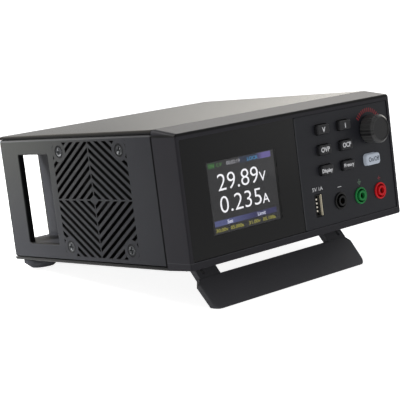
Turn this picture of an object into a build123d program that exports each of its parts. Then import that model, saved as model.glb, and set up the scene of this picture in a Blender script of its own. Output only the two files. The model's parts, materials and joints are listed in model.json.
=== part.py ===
from build123d import *
import math
import os

os.makedirs("parts", exist_ok=True)

# Bench power supply, standing on its rear feet and on the bail swung down at the front.
# Every piece is built with the case level and moved to the standing attitude on export.
# While level: +X right, +Y to the rear, +Z up, y = 0 at the joint of bezel and housing.

# ---- case ----
CASE_WIDTH = 185.0
CASE_HEIGHT = 82.0
CASE_DEPTH = 155.5
SHEET = 1.2
LIP_HEIGHT = 2.2
SIDE_THICKNESS = 4.0
SEAM = 0.2
FRONT_GROOVE = 0.8
SHEET_BEND = 1.6
PANEL_CORNER = 1.5
PANEL_BEVEL = 0.6
UPSTAND_HEIGHT = 6.5
UPSTAND_Y = 2.0
UPSTAND_MARGIN = 8.5
VENT_WIDTH = 3.0
VENT_PITCH = 6.5
FLOOR_VENT_LENGTH = 22.0
FLOOR_VENT_COLUMNS = (-28.0, 0.0, 28.0)
FLOOR_VENT_ROWS = 6
FLOOR_VENT_Y = 62.0
REAR_VENT_LENGTH = 24.0
REAR_VENT_COLUMNS = (-37.0, -9.0)
REAR_VENT_ROWS = 9
REAR_VENT_Z = 15.0
HALF_WIDTH = CASE_WIDTH / 2
SIDE_INNER = HALF_WIDTH - SIDE_THICKNESS
PANEL_BOTTOM = LIP_HEIGHT + SEAM
PANEL_TOP = CASE_HEIGHT - LIP_HEIGHT - SEAM
REAR_FACE = CASE_DEPTH - SHEET - SEAM

# ---- bezel, window and keypad ----
BEZEL_DEPTH = 20.5
BEZEL_WALL = 2.5
BEZEL_RIDGE = 2.5
BEZEL_TOP_DROP = 3.0
BEZEL_BOTTOM_RISE = 0.8
BEZEL_TOP_ROUND = 2.2
BEZEL_FRONT_ROUND = 0.8
BEZEL_LAP = 2.0
FRONT_WALL = 4.5
INSET_SIDE_MARGIN = 2.5
INSET_TOP_MARGIN = 6.8
INSET_BOTTOM = 5.0
INSET_CORNER = 1.0
LEDGE = 2.5
LENS_RECESS = 1.2
LENS_THICKNESS = 1.5
LENS_BEVEL = 0.2
KEYPAD_BEVEL = 0.2
KEYPAD_RECESS = 0.5
KEYPAD_WIDTH = 86.2
FIT = 0.08
INSET_HALF_WIDTH = HALF_WIDTH - INSET_SIDE_MARGIN
INSET_TOP = CASE_HEIGHT - INSET_TOP_MARGIN
PANEL_SPLIT = INSET_HALF_WIDTH - KEYPAD_WIDTH
FRONT = -BEZEL_DEPTH
KEYPAD_FRONT = FRONT + KEYPAD_RECESS
INSET_BACK = FRONT + LENS_RECESS + LENS_THICKNESS

# ---- display ----
LCD_SHIFT = 1.2
LCD_CENTRE_Z = 38.0
LCD_VIEW_WIDTH = 54.0
LCD_VIEW_HEIGHT = 42.0
LCD_GLASS_BORDER = 2.6
LCD_GLASS_THICKNESS = 1.2
LCD_FRAME_WALL = 0.8
LCD_FRAME_DEPTH = 3.6
LCD_GAP = 0.3
LCD_FIT = 0.05
LCD_CENTRE_X = (PANEL_SPLIT - INSET_HALF_WIDTH) / 2 + LCD_SHIFT
LCD_GLASS_WIDTH = LCD_VIEW_WIDTH + 2 * LCD_GLASS_BORDER
LCD_GLASS_HEIGHT = LCD_VIEW_HEIGHT + 2 * LCD_GLASS_BORDER
LCD_FRONT = INSET_BACK + LCD_GAP

# ---- controls ----
KEY_FIRST_COLUMN = 22.4
KEY_COLUMN_PITCH = 20.0
KEY_TOP_MARGIN = 10.1
KEY_ROW_PITCH = 12.6
KEY_WIDTH = 11.0
KEY_HEIGHT = 6.0
KEY_RISE = 2.5
KEY_CLEARANCE = 0.4
KEY_LIP = 0.9
KEY_LIP_THICKNESS = 1.0
KEY_LIP_GAP = 0.1
KEY_ROUND = 0.9
KEY_STEM_RADIUS = 1.6
KEY_STEM_LENGTH = 0.4
KEY_CORNER = 1.2
OUTPUT_KEY_CORNER = 2.0
SWITCH_SIZE = 6.0
SWITCH_DEPTH = 3.4
PLUNGER_RADIUS = 1.7
PLUNGER_RISE = 0.8
OUTPUT_KEY_PLACE = 65.6
OUTPUT_KEY_WIDTH = 13.4
OUTPUT_KEY_HEIGHT = 7.2
KNOB_PLACE = 66.4
KNOB_TOP_MARGIN = 16.1
KNOB_RADIUS = 9.0
KNOB_LENGTH = 10.0
KNOB_GAP = 0.8
KNOB_FLUTES = 24
SHAFT_RADIUS = 3.0
BUSHING_RADIUS = 3.5
BUSHING_RISE = 3.4
NECK_RADIUS = 2.5
NECK_REACH = 3.5
NECK_END_GAP = 0.5
HEAD_GAP = 0.2
SHAFT_INSET = 2.0
ENCODER_SIZE = 12.0
ENCODER_NUT_RADIUS = 5.6
ENCODER_NUT_THICKNESS = 2.0
SHAFT_FLAT = 1.0
KNOB_WELL_RADIUS = 6.2
KNOB_WELL_DEPTH = 3.2
KNOB_RIM = 2.0
KNOB_BEVEL = 1.3
KNOB_DISH = 0.3
FLUTE_RADIUS = 0.8
FLUTE_OFFSET = 0.45
RUNNING_FIT = 0.05
TOUCH = 0.02
KEY_COLUMNS = (PANEL_SPLIT + KEY_FIRST_COLUMN, PANEL_SPLIT + KEY_FIRST_COLUMN + KEY_COLUMN_PITCH)
KEY_ROWS = tuple(INSET_TOP - KEY_TOP_MARGIN - step * KEY_ROW_PITCH for step in range(3))
OUTPUT_KEY_X = PANEL_SPLIT + OUTPUT_KEY_PLACE
KNOB_X = PANEL_SPLIT + KNOB_PLACE
KNOB_Z = INSET_TOP - KNOB_TOP_MARGIN

# ---- sockets ----
JACK_PLACE = 52.2
JACK_PITCH = 19.1
JACK_LIFT = 13.5
JACK_FLANGE_RADIUS = 5.35
JACK_FLANGE = 0.9
JACK_BARREL_RADIUS = 4.9
JACK_DEPTH = 17.5
JACK_ROUND = 0.35
JACK_TUBE_RISE = 1.0
JACK_MOUTH = 1.2
JACK_GROOVE_OUTER = 4.3
JACK_GROOVE_INNER = 3.2
JACK_GROOVE_DEPTH = 11.0
JACK_NUT_RADIUS = 7.6
JACK_NUT_THICKNESS = 2.96
SOLDER_PIN_RADIUS = 1.0
SOLDER_PIN_LENGTH = 3.6
PLUG_RADIUS = 2.0
SLEEVE_WALL = 0.6
SLEEVE_END = 1.5
USB_PLACE = 13.5
USB_LIFT = 14.0
USB_LENGTH = 13.2
USB_HEIGHT = 5.9
USB_DEPTH = 14.0
USB_SHEET = 0.4
USB_CORNER = 0.6
USB_PLAY = 0.5
USB_SETBACK = 0.1
USB_TONGUE_SETBACK = 1.4
USB_TONGUE_PLAY = 0.4
USB_ROOT = 3.0
USB_CONTACT_LENGTH = 8.4
USB_TONGUE = 1.8
USB_TONGUE_OFFSET = 0.5
USB_CONTACT = 0.34
USB_CONTACT_WIDTH = 1.0
USB_CONTACT_PITCH = 2.4
JACK_CENTRE_X = PANEL_SPLIT + JACK_PLACE
JACK_Z = INSET_BOTTOM + JACK_LIFT
USB_X = PANEL_SPLIT + USB_PLACE
USB_Z = INSET_BOTTOM + USB_LIFT

# ---- grips at the rear corners ----
GRIP_POST = 19.5
GRIP_WIDTH = 32.0
GRIP_BOTTOM = 12.0
GRIP_TOP_MARGIN = 12.5
GRIP_REACH = 27.6
GRIP_MARGIN = 2.0
GRIP_ROUND = 1.0
GRIP_REAR = CASE_DEPTH - GRIP_POST
GRIP_FRONT = GRIP_REAR - GRIP_WIDTH
GRIP_TOP = CASE_HEIGHT - GRIP_TOP_MARGIN
GRIP_WALL_X = HALF_WIDTH - GRIP_REACH

# ---- fan and grille ----
FAN_EDGE_MARGIN = 6.0
FAN_GRIP_MARGIN = 8.0
FAN_DEPTH = 15.0
FAN_SCREW_INSET = 5.0
FAN_RING = 2.0
FAN_TIP_PLAY = 1.1
FAN_HUB = 15.0
FAN_BLADES = 7
FAN_BLADE_THICKNESS = 1.3
FAN_BLADE_PITCH = 38.0
FAN_CORNER = 4.0
FAN_ARM = 4.0
FAN_CARRIER = 2.0
FAN_SHAFT_RADIUS = 1.5
FAN_GAP = 0.1
ROTOR_PLAY = 1.4
GRILLE_SIDE_REACH = 1.5
GRILLE_TOP_REACH = 0.7
GRILLE_PITCH = 7.45
GRILLE_SLOT = 3.4
GRILLE_START = -2.45
GRILLE_SLOPE = 0.71
GRILLE_ROWS = 10
GRILLE_WEB = 0.5
SCREW_LAND = 6.8
SCREW_HEAD = 3.7
SCREW_RADIUS = 1.95
SCREW_LENGTH = 9.0
SCREW_CROSS_LENGTH = 4.2
SCREW_CROSS_WIDTH = 0.9
SCREW_CROSS_DEPTH = 1.0
SCREW_SINK = 0.1
COUNTERSINK_PLAY = 0.2
FAN_SIZE = CASE_HEIGHT - 2 * FAN_EDGE_MARGIN
FAN_Y = GRIP_FRONT - FAN_GRIP_MARGIN - FAN_SIZE / 2
FAN_Z = CASE_HEIGHT / 2
FAN_SCREW_PITCH = FAN_SIZE - 2 * FAN_SCREW_INSET
FAN_BORE = FAN_SIZE / 2 - FAN_RING
FAN_TIP = FAN_BORE - FAN_TIP_PLAY
GRILLE_HALF_DEPTH = FAN_SIZE / 2 + GRILLE_SIDE_REACH
GRILLE_HALF_HEIGHT = FAN_SIZE / 2 + GRILLE_TOP_REACH

# ---- feet and bail ----
FOOT_SIDE_MARGIN = 12.5
FOOT_REAR_MARGIN = 12.0
FOOT_HEIGHT = 6.0
FOOT_RIM_HEIGHT = 2.4
FOOT_TOP_RADIUS = 12.0
FOOT_SOLE_RADIUS = 7.5
FRONT_FOOT_MARGIN = 56.5
FRONT_FOOT_Y = 17.5
FRONT_FOOT_RADIUS = 6.0
FRONT_FOOT_TAPER = 1.0
FOOT_X = HALF_WIDTH - FOOT_SIDE_MARGIN
FRONT_FOOT_X = HALF_WIDTH - FRONT_FOOT_MARGIN
FOOT_Y = CASE_DEPTH - FOOT_REAR_MARGIN
FOOT_SCREW_RADIUS = 1.9
FOOT_SCREW_HEAD = 3.3
FOOT_SCREW_PLAY = 0.3
FOOT_SCREW_SEAT = 3.0
FOOT_SCREW_REACH = 4.5
FOOT_CROSS_LENGTH = 4.4
FOOT_CROSS_WIDTH = 0.8
FOOT_CROSS_DEPTH = 0.8
FOOT_SCREW_HEAD_HEIGHT = 2.0
BAIL_CENTRE = 1.65
BAIL_AXIS_Y = 15.1
BAIL_AXIS_Z = -3.6
BAIL_LEAN = 38.4
BAIL_LENGTH = 33.6
BAIL_THICKNESS = 4.0
BAIL_SIDE_MARGIN = 24.7
BAIL_WINDOW_LENGTH = 10.6
BAIL_ARM_WIDTH = 16.8
BAIL_STEP = 2.8
BAIL_TAPER = 1.0
BAIL_CORNER = 5.5
BAIL_SHOULDER = 4.0
BAIL_BEVEL = 0.6
BAIL_SLOT_INSET = 4.6
BAIL_SLOT_WIDTH = 2.0
BAIL_SLOT_LENGTH = 4.2
BAIL_SLOT_PLACE = 6.6
HUB_RADIUS = 2.8
PIN_RADIUS = 1.25
LUG_THICKNESS = 2.4
LUG_GAP = 0.3
LUG_RADIUS = 2.9
BRACKET_BASE = 0.7
BRACKET_HALF_DEPTH = 7.0
PIN_HEAD_RADIUS = 2.0
PIN_HEAD = 0.8
PIN_SEAT = 0.01
HUB_TRIM = 4.0
ARM_LAP = 0.6
BAIL_HALF_WIDTH = HALF_WIDTH - BAIL_SIDE_MARGIN
BAIL_ARM_OUTER = BAIL_HALF_WIDTH - BAIL_STEP
BAIL_ARM_INNER = BAIL_ARM_OUTER - BAIL_ARM_WIDTH
BAIL_SLOT_X = BAIL_ARM_OUTER - BAIL_SLOT_INSET

# ---- boards ----
BOARD = 1.6
CONTROL_BOARD_SETBACK = 9.5
CONTROL_BOARD_MARGIN = 4.0
CONTROL_BOARD_INSET = 3.4
POST_INSET = 3.8
POST_RADIUS = 2.6
BOARD_SCREW_RADIUS = 1.4
BOARD_HOLE_RADIUS = 1.6
BOARD_PLAY = 0.6
BOARD_SCREW_HEAD = 2.6
BOARD_SCREW_HEAD_HEIGHT = 1.9
MAIN_BOARD_Z = 9.0
MAIN_BOARD_MARGIN = 28.5
MAIN_BOARD_FRONT = 8.0
MAIN_BOARD_REAR = 98.0
SPACER_INSET = 6.0
SPACER_RADIUS = 3.0
MAIN_BOARD_HALF_WIDTH = HALF_WIDTH - MAIN_BOARD_MARGIN
CONTROL_BOARD_Y = FRONT + CONTROL_BOARD_SETBACK
BOARD_TOP = MAIN_BOARD_Z + BOARD + TOUCH

# ---- power parts ----
CORE_X = -23.0
CORE_Y = 54.0
CORE_WIDTH = 34.0
CORE_DEPTH = 28.0
CORE_HEIGHT = 30.0
CORE_YOKE = 6.0
CORE_LEG = 10.0
WINDING_PLAY = 0.3
WINDING_REACH = 6.0
CHOKE_INSET = 10.0
CHOKE_Y = 62.0
CHOKE_RADIUS = 9.5
CHOKE_WIRE = 4.6
CHOKE_X = CHOKE_INSET - MAIN_BOARD_HALF_WIDTH
CAPACITOR_PLACES = (8.0, 30.0)
CAPACITOR_Y = 80.0
CAPACITOR_RADIUS = 9.5
CAPACITOR_HEIGHT = 34.0
HEATSINK_LEFT = 10.0
HEATSINK_RIGHT = 36.0
HEATSINK_Y = 14.0
HEATSINK_LENGTH = 46.0
HEATSINK_HEIGHT = 38.0
HEATSINK_DEPTH = 16.0
HEATSINK_BASE = 4.0
HEATSINK_FINS = 7
HEATSINK_FIN = 1.8
TRANSISTOR_THICKNESS = 5.0
TRANSISTOR_WIDTH = 15.0
TRANSISTOR_HEIGHT = 20.0
TRANSISTOR_LIFT = 8.0

# ---- mains side ----
CUTOUT_PLAY = 0.3
INLET_X = 27.0
INLET_Z = 27.0
INLET_FLANGE_WIDTH = 48.0
INLET_FLANGE_HEIGHT = 22.0
INLET_FLANGE = 2.5
INLET_FLANGE_CORNER = 3.0
INLET_BODY_WIDTH = 27.0
INLET_BODY_HEIGHT = 19.6
INLET_DEPTH = 14.0
INLET_CAVITY_WIDTH = 24.0
INLET_CAVITY_HEIGHT = 16.0
INLET_CAVITY_CORNER = 4.0
INLET_WALL = 2.0
INLET_SCREW_REACH = 20.0
INLET_SCREW_RADIUS = 1.5
INLET_BLADES = ((-7.0, -1.5), (0.0, 2.5), (7.0, -1.5))
INLET_BLADE_WIDTH = 2.0
INLET_BLADE_HEIGHT = 4.0
INLET_BLADE_TAIL = 6.0
INLET_BLADE_SETBACK = 0.5
INLET_SCREW_HEAD = 2.8
INLET_SCREW_HEAD_HEIGHT = 1.7
INLET_SCREW_ROUND = 0.8
INLET_SCREW_LENGTH = 6.0
INLET_CROSS_LENGTH = 4.0
INLET_CROSS_WIDTH = 0.8
INLET_CROSS_DEPTH = 0.8
ROCKER_X = 27.0
ROCKER_Z = 57.0
ROCKER_ANGLE = 9.0
ROCKER_RIM_WIDTH = 23.0
ROCKER_RIM_HEIGHT = 16.0
ROCKER_RIM = 1.8
ROCKER_RIM_CORNER = 1.5
ROCKER_BODY_WIDTH = 20.8
ROCKER_BODY_HEIGHT = 13.8
ROCKER_BODY_DEPTH = 13.0
ROCKER_LENGTH = 16.4
ROCKER_WIDTH = 10.4
ROCKER_SIDE_PLAY = 0.2
ROCKER_END_PLAY = 0.8
ROCKER_PIVOT_RADIUS = 1.0
ROCKER_PIVOT_REACH = 1.2
ROCKER_PIVOT_DEPTH = 1.0
ROCKER_WELL_DEPTH = 7.5
ROCKER_EDGE = 0.6
ROCKER_CROWN = 1.6
ROCKER_SKIRT = 2.4
ROCKER_KEEL = 5.4
ROCKER_KEEL_HALF_WIDTH = 3.0

LEAN = math.radians(BAIL_LEAN)
BAIL_DOWN = Vector(0, -math.sin(LEAN), -math.cos(LEAN))
BAIL_FACE = Vector(0, -math.cos(LEAN), math.sin(LEAN))
BAIL_AXIS = Vector(BAIL_CENTRE, BAIL_AXIS_Y, BAIL_AXIS_Z)
BAIL_EDGE = BAIL_AXIS + BAIL_FACE * (BAIL_THICKNESS / 2) + BAIL_DOWN * BAIL_LENGTH
STAND_ANGLE = math.degrees(
    math.atan2(-FOOT_HEIGHT - BAIL_EDGE.Z, FOOT_Y + FOOT_SOLE_RADIUS - BAIL_EDGE.Y))


def block(x0, x1, y0, y1, z0, z1):
    """A box given by its six faces."""
    return Pos((x0 + x1) / 2, (y0 + y1) / 2, (z0 + z1) / 2) * Box(x1 - x0, y1 - y0, z1 - z0)


def rod_x(radius, x0, x1, y, z):
    """A cylinder along X."""
    return Pos((x0 + x1) / 2, y, z) * Rot(0, 90, 0) * Cylinder(radius, x1 - x0)


def rod_y(radius, y0, y1, x, z):
    """A cylinder along Y."""
    return Pos(x, (y0 + y1) / 2, z) * Rot(90, 0, 0) * Cylinder(radius, y1 - y0)


def rod_z(radius, z0, z1, x, y):
    """A cylinder along Z."""
    return Pos(x, y, (z0 + z1) / 2) * Cylinder(radius, z1 - z0)


def block_y(width, height, y0, y1, x, z):
    """A box with its front centred on x and z."""
    return block(x - width / 2, x + width / 2, y0, y1, z - height / 2, z + height / 2)


def plate_y(width, height, y0, y1, x, z, corner):
    """A plate facing the front, with round corners."""
    outline = Plane.XZ * RectangleRounded(width, height, corner)
    return Pos(x, y1, z) * extrude(outline, y1 - y0)


def mirrored(shape):
    """The same shape on the other side of the case."""
    return shape.mirror(Plane.YZ)


def group(shapes):
    """Separate solids written as one node."""
    return shapes[0].fuse(*shapes[1:])


def both_sides(shape):
    """A piece and its mirror image as two solids of one node."""
    return group([shape, mirrored(shape)])


# ---------------------------------------------------------------- case

def grille_cut(x0, x1):
    """Slots along nested diamonds, left out on the centre lines and round the fan screws."""
    quadrant = Pos(
        (GRILLE_WEB + GRILLE_HALF_DEPTH) / 2, (GRILLE_WEB + GRILLE_HALF_HEIGHT) / 2
    ) * Rectangle(GRILLE_HALF_DEPTH - GRILLE_WEB, GRILLE_HALF_HEIGHT - GRILLE_WEB)
    screw = Pos(FAN_SCREW_PITCH / 2, FAN_SCREW_PITCH / 2) * Circle(SCREW_LAND)
    slots = None
    for row in range(1, GRILLE_ROWS + 1):
        near = row * GRILLE_PITCH + GRILLE_START
        far = near + GRILLE_SLOT
        band = make_face(Polyline(
            (near, 0), (far, 0), (0, far * GRILLE_SLOPE), (0, near * GRILLE_SLOPE), close=True))
        piece = (band & quadrant) - screw
        slots = piece if slots is None else slots + piece
    slots = slots + slots.mirror(Plane.YZ)
    slots = slots + slots.mirror(Plane.XZ)
    placed = Plane(origin=(x0, FAN_Y, FAN_Z), x_dir=(0, 1, 0), z_dir=(1, 0, 0))
    return extrude(placed * slots, x1 - x0)


def screw_cone(x_face, clearance):
    """The countersunk head of a side screw with its shank."""
    head = SCREW_HEAD + clearance
    shank = SCREW_RADIUS + clearance
    depth = SCREW_HEAD - SCREW_RADIUS
    cone = Pos(x_face + depth / 2, 0, 0) * Rot(0, 90, 0) * Cone(head, shank, depth)
    return cone + rod_x(shank, x_face, x_face + SCREW_LENGTH, 0, 0)


def fan_screw_places():
    """Centres of the four fan screws on the side panel."""
    half = FAN_SCREW_PITCH / 2
    return [(FAN_Y + a * half, FAN_Z + b * half) for a in (-1, 1) for b in (-1, 1)]


def make_side_panel(with_screws):
    """Left side wall with the grille and the grip window."""
    wall = block(-HALF_WIDTH, -SIDE_INNER, FRONT_GROOVE, CASE_DEPTH, PANEL_BOTTOM, PANEL_TOP)
    wall = fillet(wall.edges().filter_by(Axis.X).group_by(Axis.Y)[-1], PANEL_CORNER)
    wall = chamfer(wall.faces().sort_by(Axis.X)[0].edges(), PANEL_BEVEL)
    window = block(
        -HALF_WIDTH - 1, -SIDE_INNER + 1, GRIP_FRONT, GRIP_REAR, GRIP_BOTTOM, GRIP_TOP)
    window = fillet(window.edges().filter_by(Axis.X), GRIP_ROUND)
    wall = wall - window
    rim = wall.faces().sort_by(Axis.X)[0].inner_wires()[0].edges()
    wall = fillet(rim, GRIP_ROUND)
    wall = wall - grille_cut(-HALF_WIDTH - 1, -SIDE_INNER + 1)
    if with_screws:
        for y, z in fan_screw_places():
            wall = wall - Pos(0, y, z) * screw_cone(-HALF_WIDTH, COUNTERSINK_PLAY)
    return wall


def make_side_screws():
    """Four countersunk screws with crossed slots, on the fan side."""
    long = SCREW_CROSS_LENGTH / 2
    wide = SCREW_CROSS_WIDTH / 2
    slot = block(-HALF_WIDTH - 1, -HALF_WIDTH + SCREW_CROSS_DEPTH, -long, long, -wide, wide)
    cross = slot + Rot(90, 0, 0) * slot
    screw = screw_cone(-HALF_WIDTH + SCREW_SINK, 0.0) - cross
    return group([Pos(0, y, z) * screw for y, z in fan_screw_places()])


def make_top_cover():
    """Folded sheet lid with lips turned down on both sides and at the rear."""
    low = CASE_HEIGHT - LIP_HEIGHT
    lid = block(-HALF_WIDTH, HALF_WIDTH, SEAM, CASE_DEPTH, low, CASE_HEIGHT)
    top_edges = lid.faces().sort_by(Axis.Z)[-1].edges()
    bends = top_edges.filter_by(Axis.Y) + top_edges.filter_by(Axis.X).sort_by(Axis.Y)[-1:]
    lid = fillet(bends, SHEET_BEND)
    hollow = block(
        -HALF_WIDTH + SHEET, HALF_WIDTH - SHEET, -1, CASE_DEPTH - SHEET, low - 1,
        CASE_HEIGHT - SHEET)
    return lid - hollow


def foot_places():
    """Centres of the rear and front feet on the right side."""
    return [(FOOT_X, FOOT_Y), (FRONT_FOOT_X, FRONT_FOOT_Y)]


def make_bottom_tray():
    """Folded sheet floor with lips, a front upstand, air slots and screw holes."""
    tray = block(-HALF_WIDTH, HALF_WIDTH, SEAM, CASE_DEPTH, 0, LIP_HEIGHT)
    low_edges = tray.faces().sort_by(Axis.Z)[0].edges().filter_by(Axis.Y)
    tray = fillet(low_edges, SHEET_BEND)
    tray = tray - block(
        -HALF_WIDTH + SHEET, HALF_WIDTH - SHEET, -1, CASE_DEPTH - SHEET, SHEET, LIP_HEIGHT + 1)
    reach = HALF_WIDTH - UPSTAND_MARGIN
    tray = tray + block(-reach, reach, UPSTAND_Y, UPSTAND_Y + SHEET, SHEET / 2, UPSTAND_HEIGHT)
    slot = Pos(0, 0, SHEET / 2) * extrude(SlotOverall(FLOOR_VENT_LENGTH, VENT_WIDTH), SHEET, both=True)
    for x in FLOOR_VENT_COLUMNS:
        for row in range(FLOOR_VENT_ROWS):
            tray = tray - Pos(x, FLOOR_VENT_Y + row * VENT_PITCH, 0) * slot
    hole = FOOT_SCREW_RADIUS + FOOT_SCREW_PLAY
    for x, y in foot_places():
        tray = tray - rod_z(hole, -1, SHEET + 1, x, y) - rod_z(hole, -1, SHEET + 1, -x, y)
    return tray


def make_rear_panel():
    """Rear sheet with openings for the grips, mains inlet, switch and warm air."""
    panel = block(
        -SIDE_INNER + SEAM, SIDE_INNER - SEAM, REAR_FACE - SHEET, REAR_FACE, PANEL_BOTTOM,
        PANEL_TOP)
    deep = REAR_FACE - 2 * SHEET
    for side in (-1, 1):
        a = side * GRIP_WALL_X
        b = side * HALF_WIDTH
        panel = panel - block(min(a, b), max(a, b), deep, CASE_DEPTH, GRIP_BOTTOM, GRIP_TOP)
        panel = panel - rod_y(
            INLET_SCREW_RADIUS + CUTOUT_PLAY, deep, CASE_DEPTH, INLET_X + side * INLET_SCREW_REACH,
            INLET_Z)
    panel = panel - block_y(
        INLET_BODY_WIDTH + 2 * CUTOUT_PLAY, INLET_BODY_HEIGHT + 2 * CUTOUT_PLAY, deep, CASE_DEPTH,
        INLET_X, INLET_Z)
    panel = panel - block_y(
        ROCKER_BODY_WIDTH + 2 * CUTOUT_PLAY, ROCKER_BODY_HEIGHT + 2 * CUTOUT_PLAY, deep, CASE_DEPTH,
        ROCKER_X, ROCKER_Z)
    slot = Plane.XZ * SlotOverall(REAR_VENT_LENGTH, VENT_WIDTH)
    for x in REAR_VENT_COLUMNS:
        for row in range(REAR_VENT_ROWS):
            z = REAR_VENT_Z + row * VENT_PITCH
            panel = panel - Pos(x, CASE_DEPTH, z) * extrude(slot, 3 * SHEET)
    return panel


def make_left_grip_pocket():
    """Folded liner that closes the case behind the grip window, open to the rear."""
    outer = block(
        -SIDE_INNER + SEAM, -GRIP_WALL_X + SHEET, GRIP_FRONT - GRIP_MARGIN - SHEET,
        REAR_FACE - SHEET - TOUCH, GRIP_BOTTOM - SHEET, GRIP_TOP + SHEET)
    inner = block(
        -HALF_WIDTH, -GRIP_WALL_X, GRIP_FRONT - GRIP_MARGIN, CASE_DEPTH + 1, GRIP_BOTTOM, GRIP_TOP)
    return outer - inner


# ---------------------------------------------------------------- front

def edges_to_front(shell, side):
    """The edges that run from the housing to the front, at the top or at the bottom."""
    found = []
    for edge in shell.edges():
        way = edge.tangent_at(0.5)
        if abs(way.X) < 0.1 and abs(way.Y) > 0.5 and side * (edge.center().Z - CASE_HEIGHT / 2) > 0:
            found.append(edge)
    return found


def make_front_bezel():
    """Moulded front frame whose top slopes down to the front face."""
    section = make_face(Polyline(
        (0, 0), (-BEZEL_DEPTH, BEZEL_BOTTOM_RISE),
        (-BEZEL_DEPTH, CASE_HEIGHT - BEZEL_TOP_DROP), (-BEZEL_RIDGE, CASE_HEIGHT),
        (0, CASE_HEIGHT), close=True))
    side_plane = Plane(origin=(-HALF_WIDTH, 0, 0), x_dir=(0, 1, 0), z_dir=(1, 0, 0))
    shell = extrude(side_plane * section, CASE_WIDTH)
    shell = fillet(edges_to_front(shell, 1), BEZEL_TOP_ROUND)
    shell = fillet(edges_to_front(shell, -1), SHEET_BEND)
    shell = fillet(shell.faces().sort_by(Axis.Y)[0].edges(), BEZEL_FRONT_ROUND)
    cavity = block(
        -HALF_WIDTH + BEZEL_WALL, HALF_WIDTH - BEZEL_WALL, FRONT + FRONT_WALL, 1,
        BEZEL_WALL + BEZEL_BOTTOM_RISE, CASE_HEIGHT - BEZEL_TOP_DROP - BEZEL_WALL)
    inset = block(
        -INSET_HALF_WIDTH, INSET_HALF_WIDTH, FRONT - 1, INSET_BACK, INSET_BOTTOM, INSET_TOP)
    inset = fillet(inset.edges().filter_by(Axis.Y), INSET_CORNER)
    opening = block(
        -INSET_HALF_WIDTH + LEDGE, INSET_HALF_WIDTH - LEDGE, FRONT - 1, 0,
        INSET_BOTTOM + LEDGE, INSET_TOP - LEDGE)
    rib = block(
        PANEL_SPLIT - LEDGE, PANEL_SPLIT + LEDGE, INSET_BACK, FRONT + FRONT_WALL,
        INSET_BOTTOM, INSET_TOP)
    shell = shell - cavity - inset - opening + rib
    step = block(
        -HALF_WIDTH + BEZEL_WALL, HALF_WIDTH - BEZEL_WALL, -BEZEL_LAP, 1, SHEET + SEAM,
        SHEET + SEAM + BEZEL_WALL)
    return shell - step


def make_display_lens():
    """Clear window over the display, set back from the rim."""
    left = -INSET_HALF_WIDTH + FIT
    right = PANEL_SPLIT - FIT
    height = INSET_TOP - INSET_BOTTOM - 2 * FIT
    middle = (INSET_TOP + INSET_BOTTOM) / 2
    lens = plate_y(
        right - left, height, FRONT + LENS_RECESS, INSET_BACK, (left + right) / 2, middle,
        INSET_CORNER - FIT)
    return chamfer(lens.faces().sort_by(Axis.Y)[0].edges(), LENS_BEVEL)


def usb_opening(margin, y0, y1):
    """The upright slot of the charging socket."""
    return plate_y(
        USB_HEIGHT + 2 * margin, USB_LENGTH + 2 * margin, y0, y1, USB_X, USB_Z,
        USB_CORNER + margin / 2)


def make_keypad_panel():
    """Panel at the right of the window with openings for keys, knob and sockets."""
    left = PANEL_SPLIT + FIT
    right = INSET_HALF_WIDTH - FIT
    height = INSET_TOP - INSET_BOTTOM - 2 * FIT
    middle = (INSET_TOP + INSET_BOTTOM) / 2
    panel = plate_y(
        right - left, height, KEYPAD_FRONT, INSET_BACK, (left + right) / 2, middle,
        INSET_CORNER - FIT)
    panel = chamfer(panel.faces().sort_by(Axis.Y)[0].edges(), KEYPAD_BEVEL)
    for x in KEY_COLUMNS:
        for z in KEY_ROWS:
            panel = panel - plate_y(
                KEY_WIDTH + 2 * KEY_CLEARANCE, KEY_HEIGHT + 2 * KEY_CLEARANCE,
                FRONT - 1, 0, x, z, KEY_CORNER + KEY_CLEARANCE)
    panel = panel - plate_y(
        OUTPUT_KEY_WIDTH + 2 * KEY_CLEARANCE, OUTPUT_KEY_HEIGHT + 2 * KEY_CLEARANCE,
        FRONT - 1, 0, OUTPUT_KEY_X, KEY_ROWS[2], OUTPUT_KEY_CORNER + KEY_CLEARANCE)
    panel = panel - rod_y(BUSHING_RADIUS + FIT, FRONT - 1, 0, KNOB_X, KNOB_Z)
    panel = panel - usb_opening(USB_PLAY, FRONT - 1, 0)
    for x in jack_places():
        panel = panel - rod_y(JACK_BARREL_RADIUS + FIT, FRONT - 1, 0, x, JACK_Z)
    return panel


def make_key(x, z, width, height, corner):
    """A key cap with a lip behind the panel and a stem towards its switch."""
    cap = plate_y(
        width, height, KEYPAD_FRONT - KEY_RISE, INSET_BACK + 2 * KEY_LIP_GAP, x, z, corner)
    cap = fillet(cap.faces().sort_by(Axis.Y)[0].edges(), KEY_ROUND)
    lip_front = INSET_BACK + KEY_LIP_GAP
    lip_back = lip_front + KEY_LIP_THICKNESS
    lip = plate_y(width + 2 * KEY_LIP, height + 2 * KEY_LIP, lip_front, lip_back, x, z, corner)
    stem = rod_y(KEY_STEM_RADIUS, lip_front, lip_back + KEY_STEM_LENGTH, x, z)
    return cap + lip + stem


def make_switches():
    """One small push switch on the board behind each key."""
    back = CONTROL_BOARD_Y - TOUCH
    places = [(x, z) for x in KEY_COLUMNS for z in KEY_ROWS] + [(OUTPUT_KEY_X, KEY_ROWS[2])]
    pieces = []
    for x, z in places:
        body = block_y(SWITCH_SIZE, SWITCH_SIZE, back - SWITCH_DEPTH, back, x, z)
        tip = back - SWITCH_DEPTH - PLUNGER_RISE
        pieces.append(body + rod_y(PLUNGER_RADIUS, tip, back, x, z))
    return group(pieces)


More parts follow.
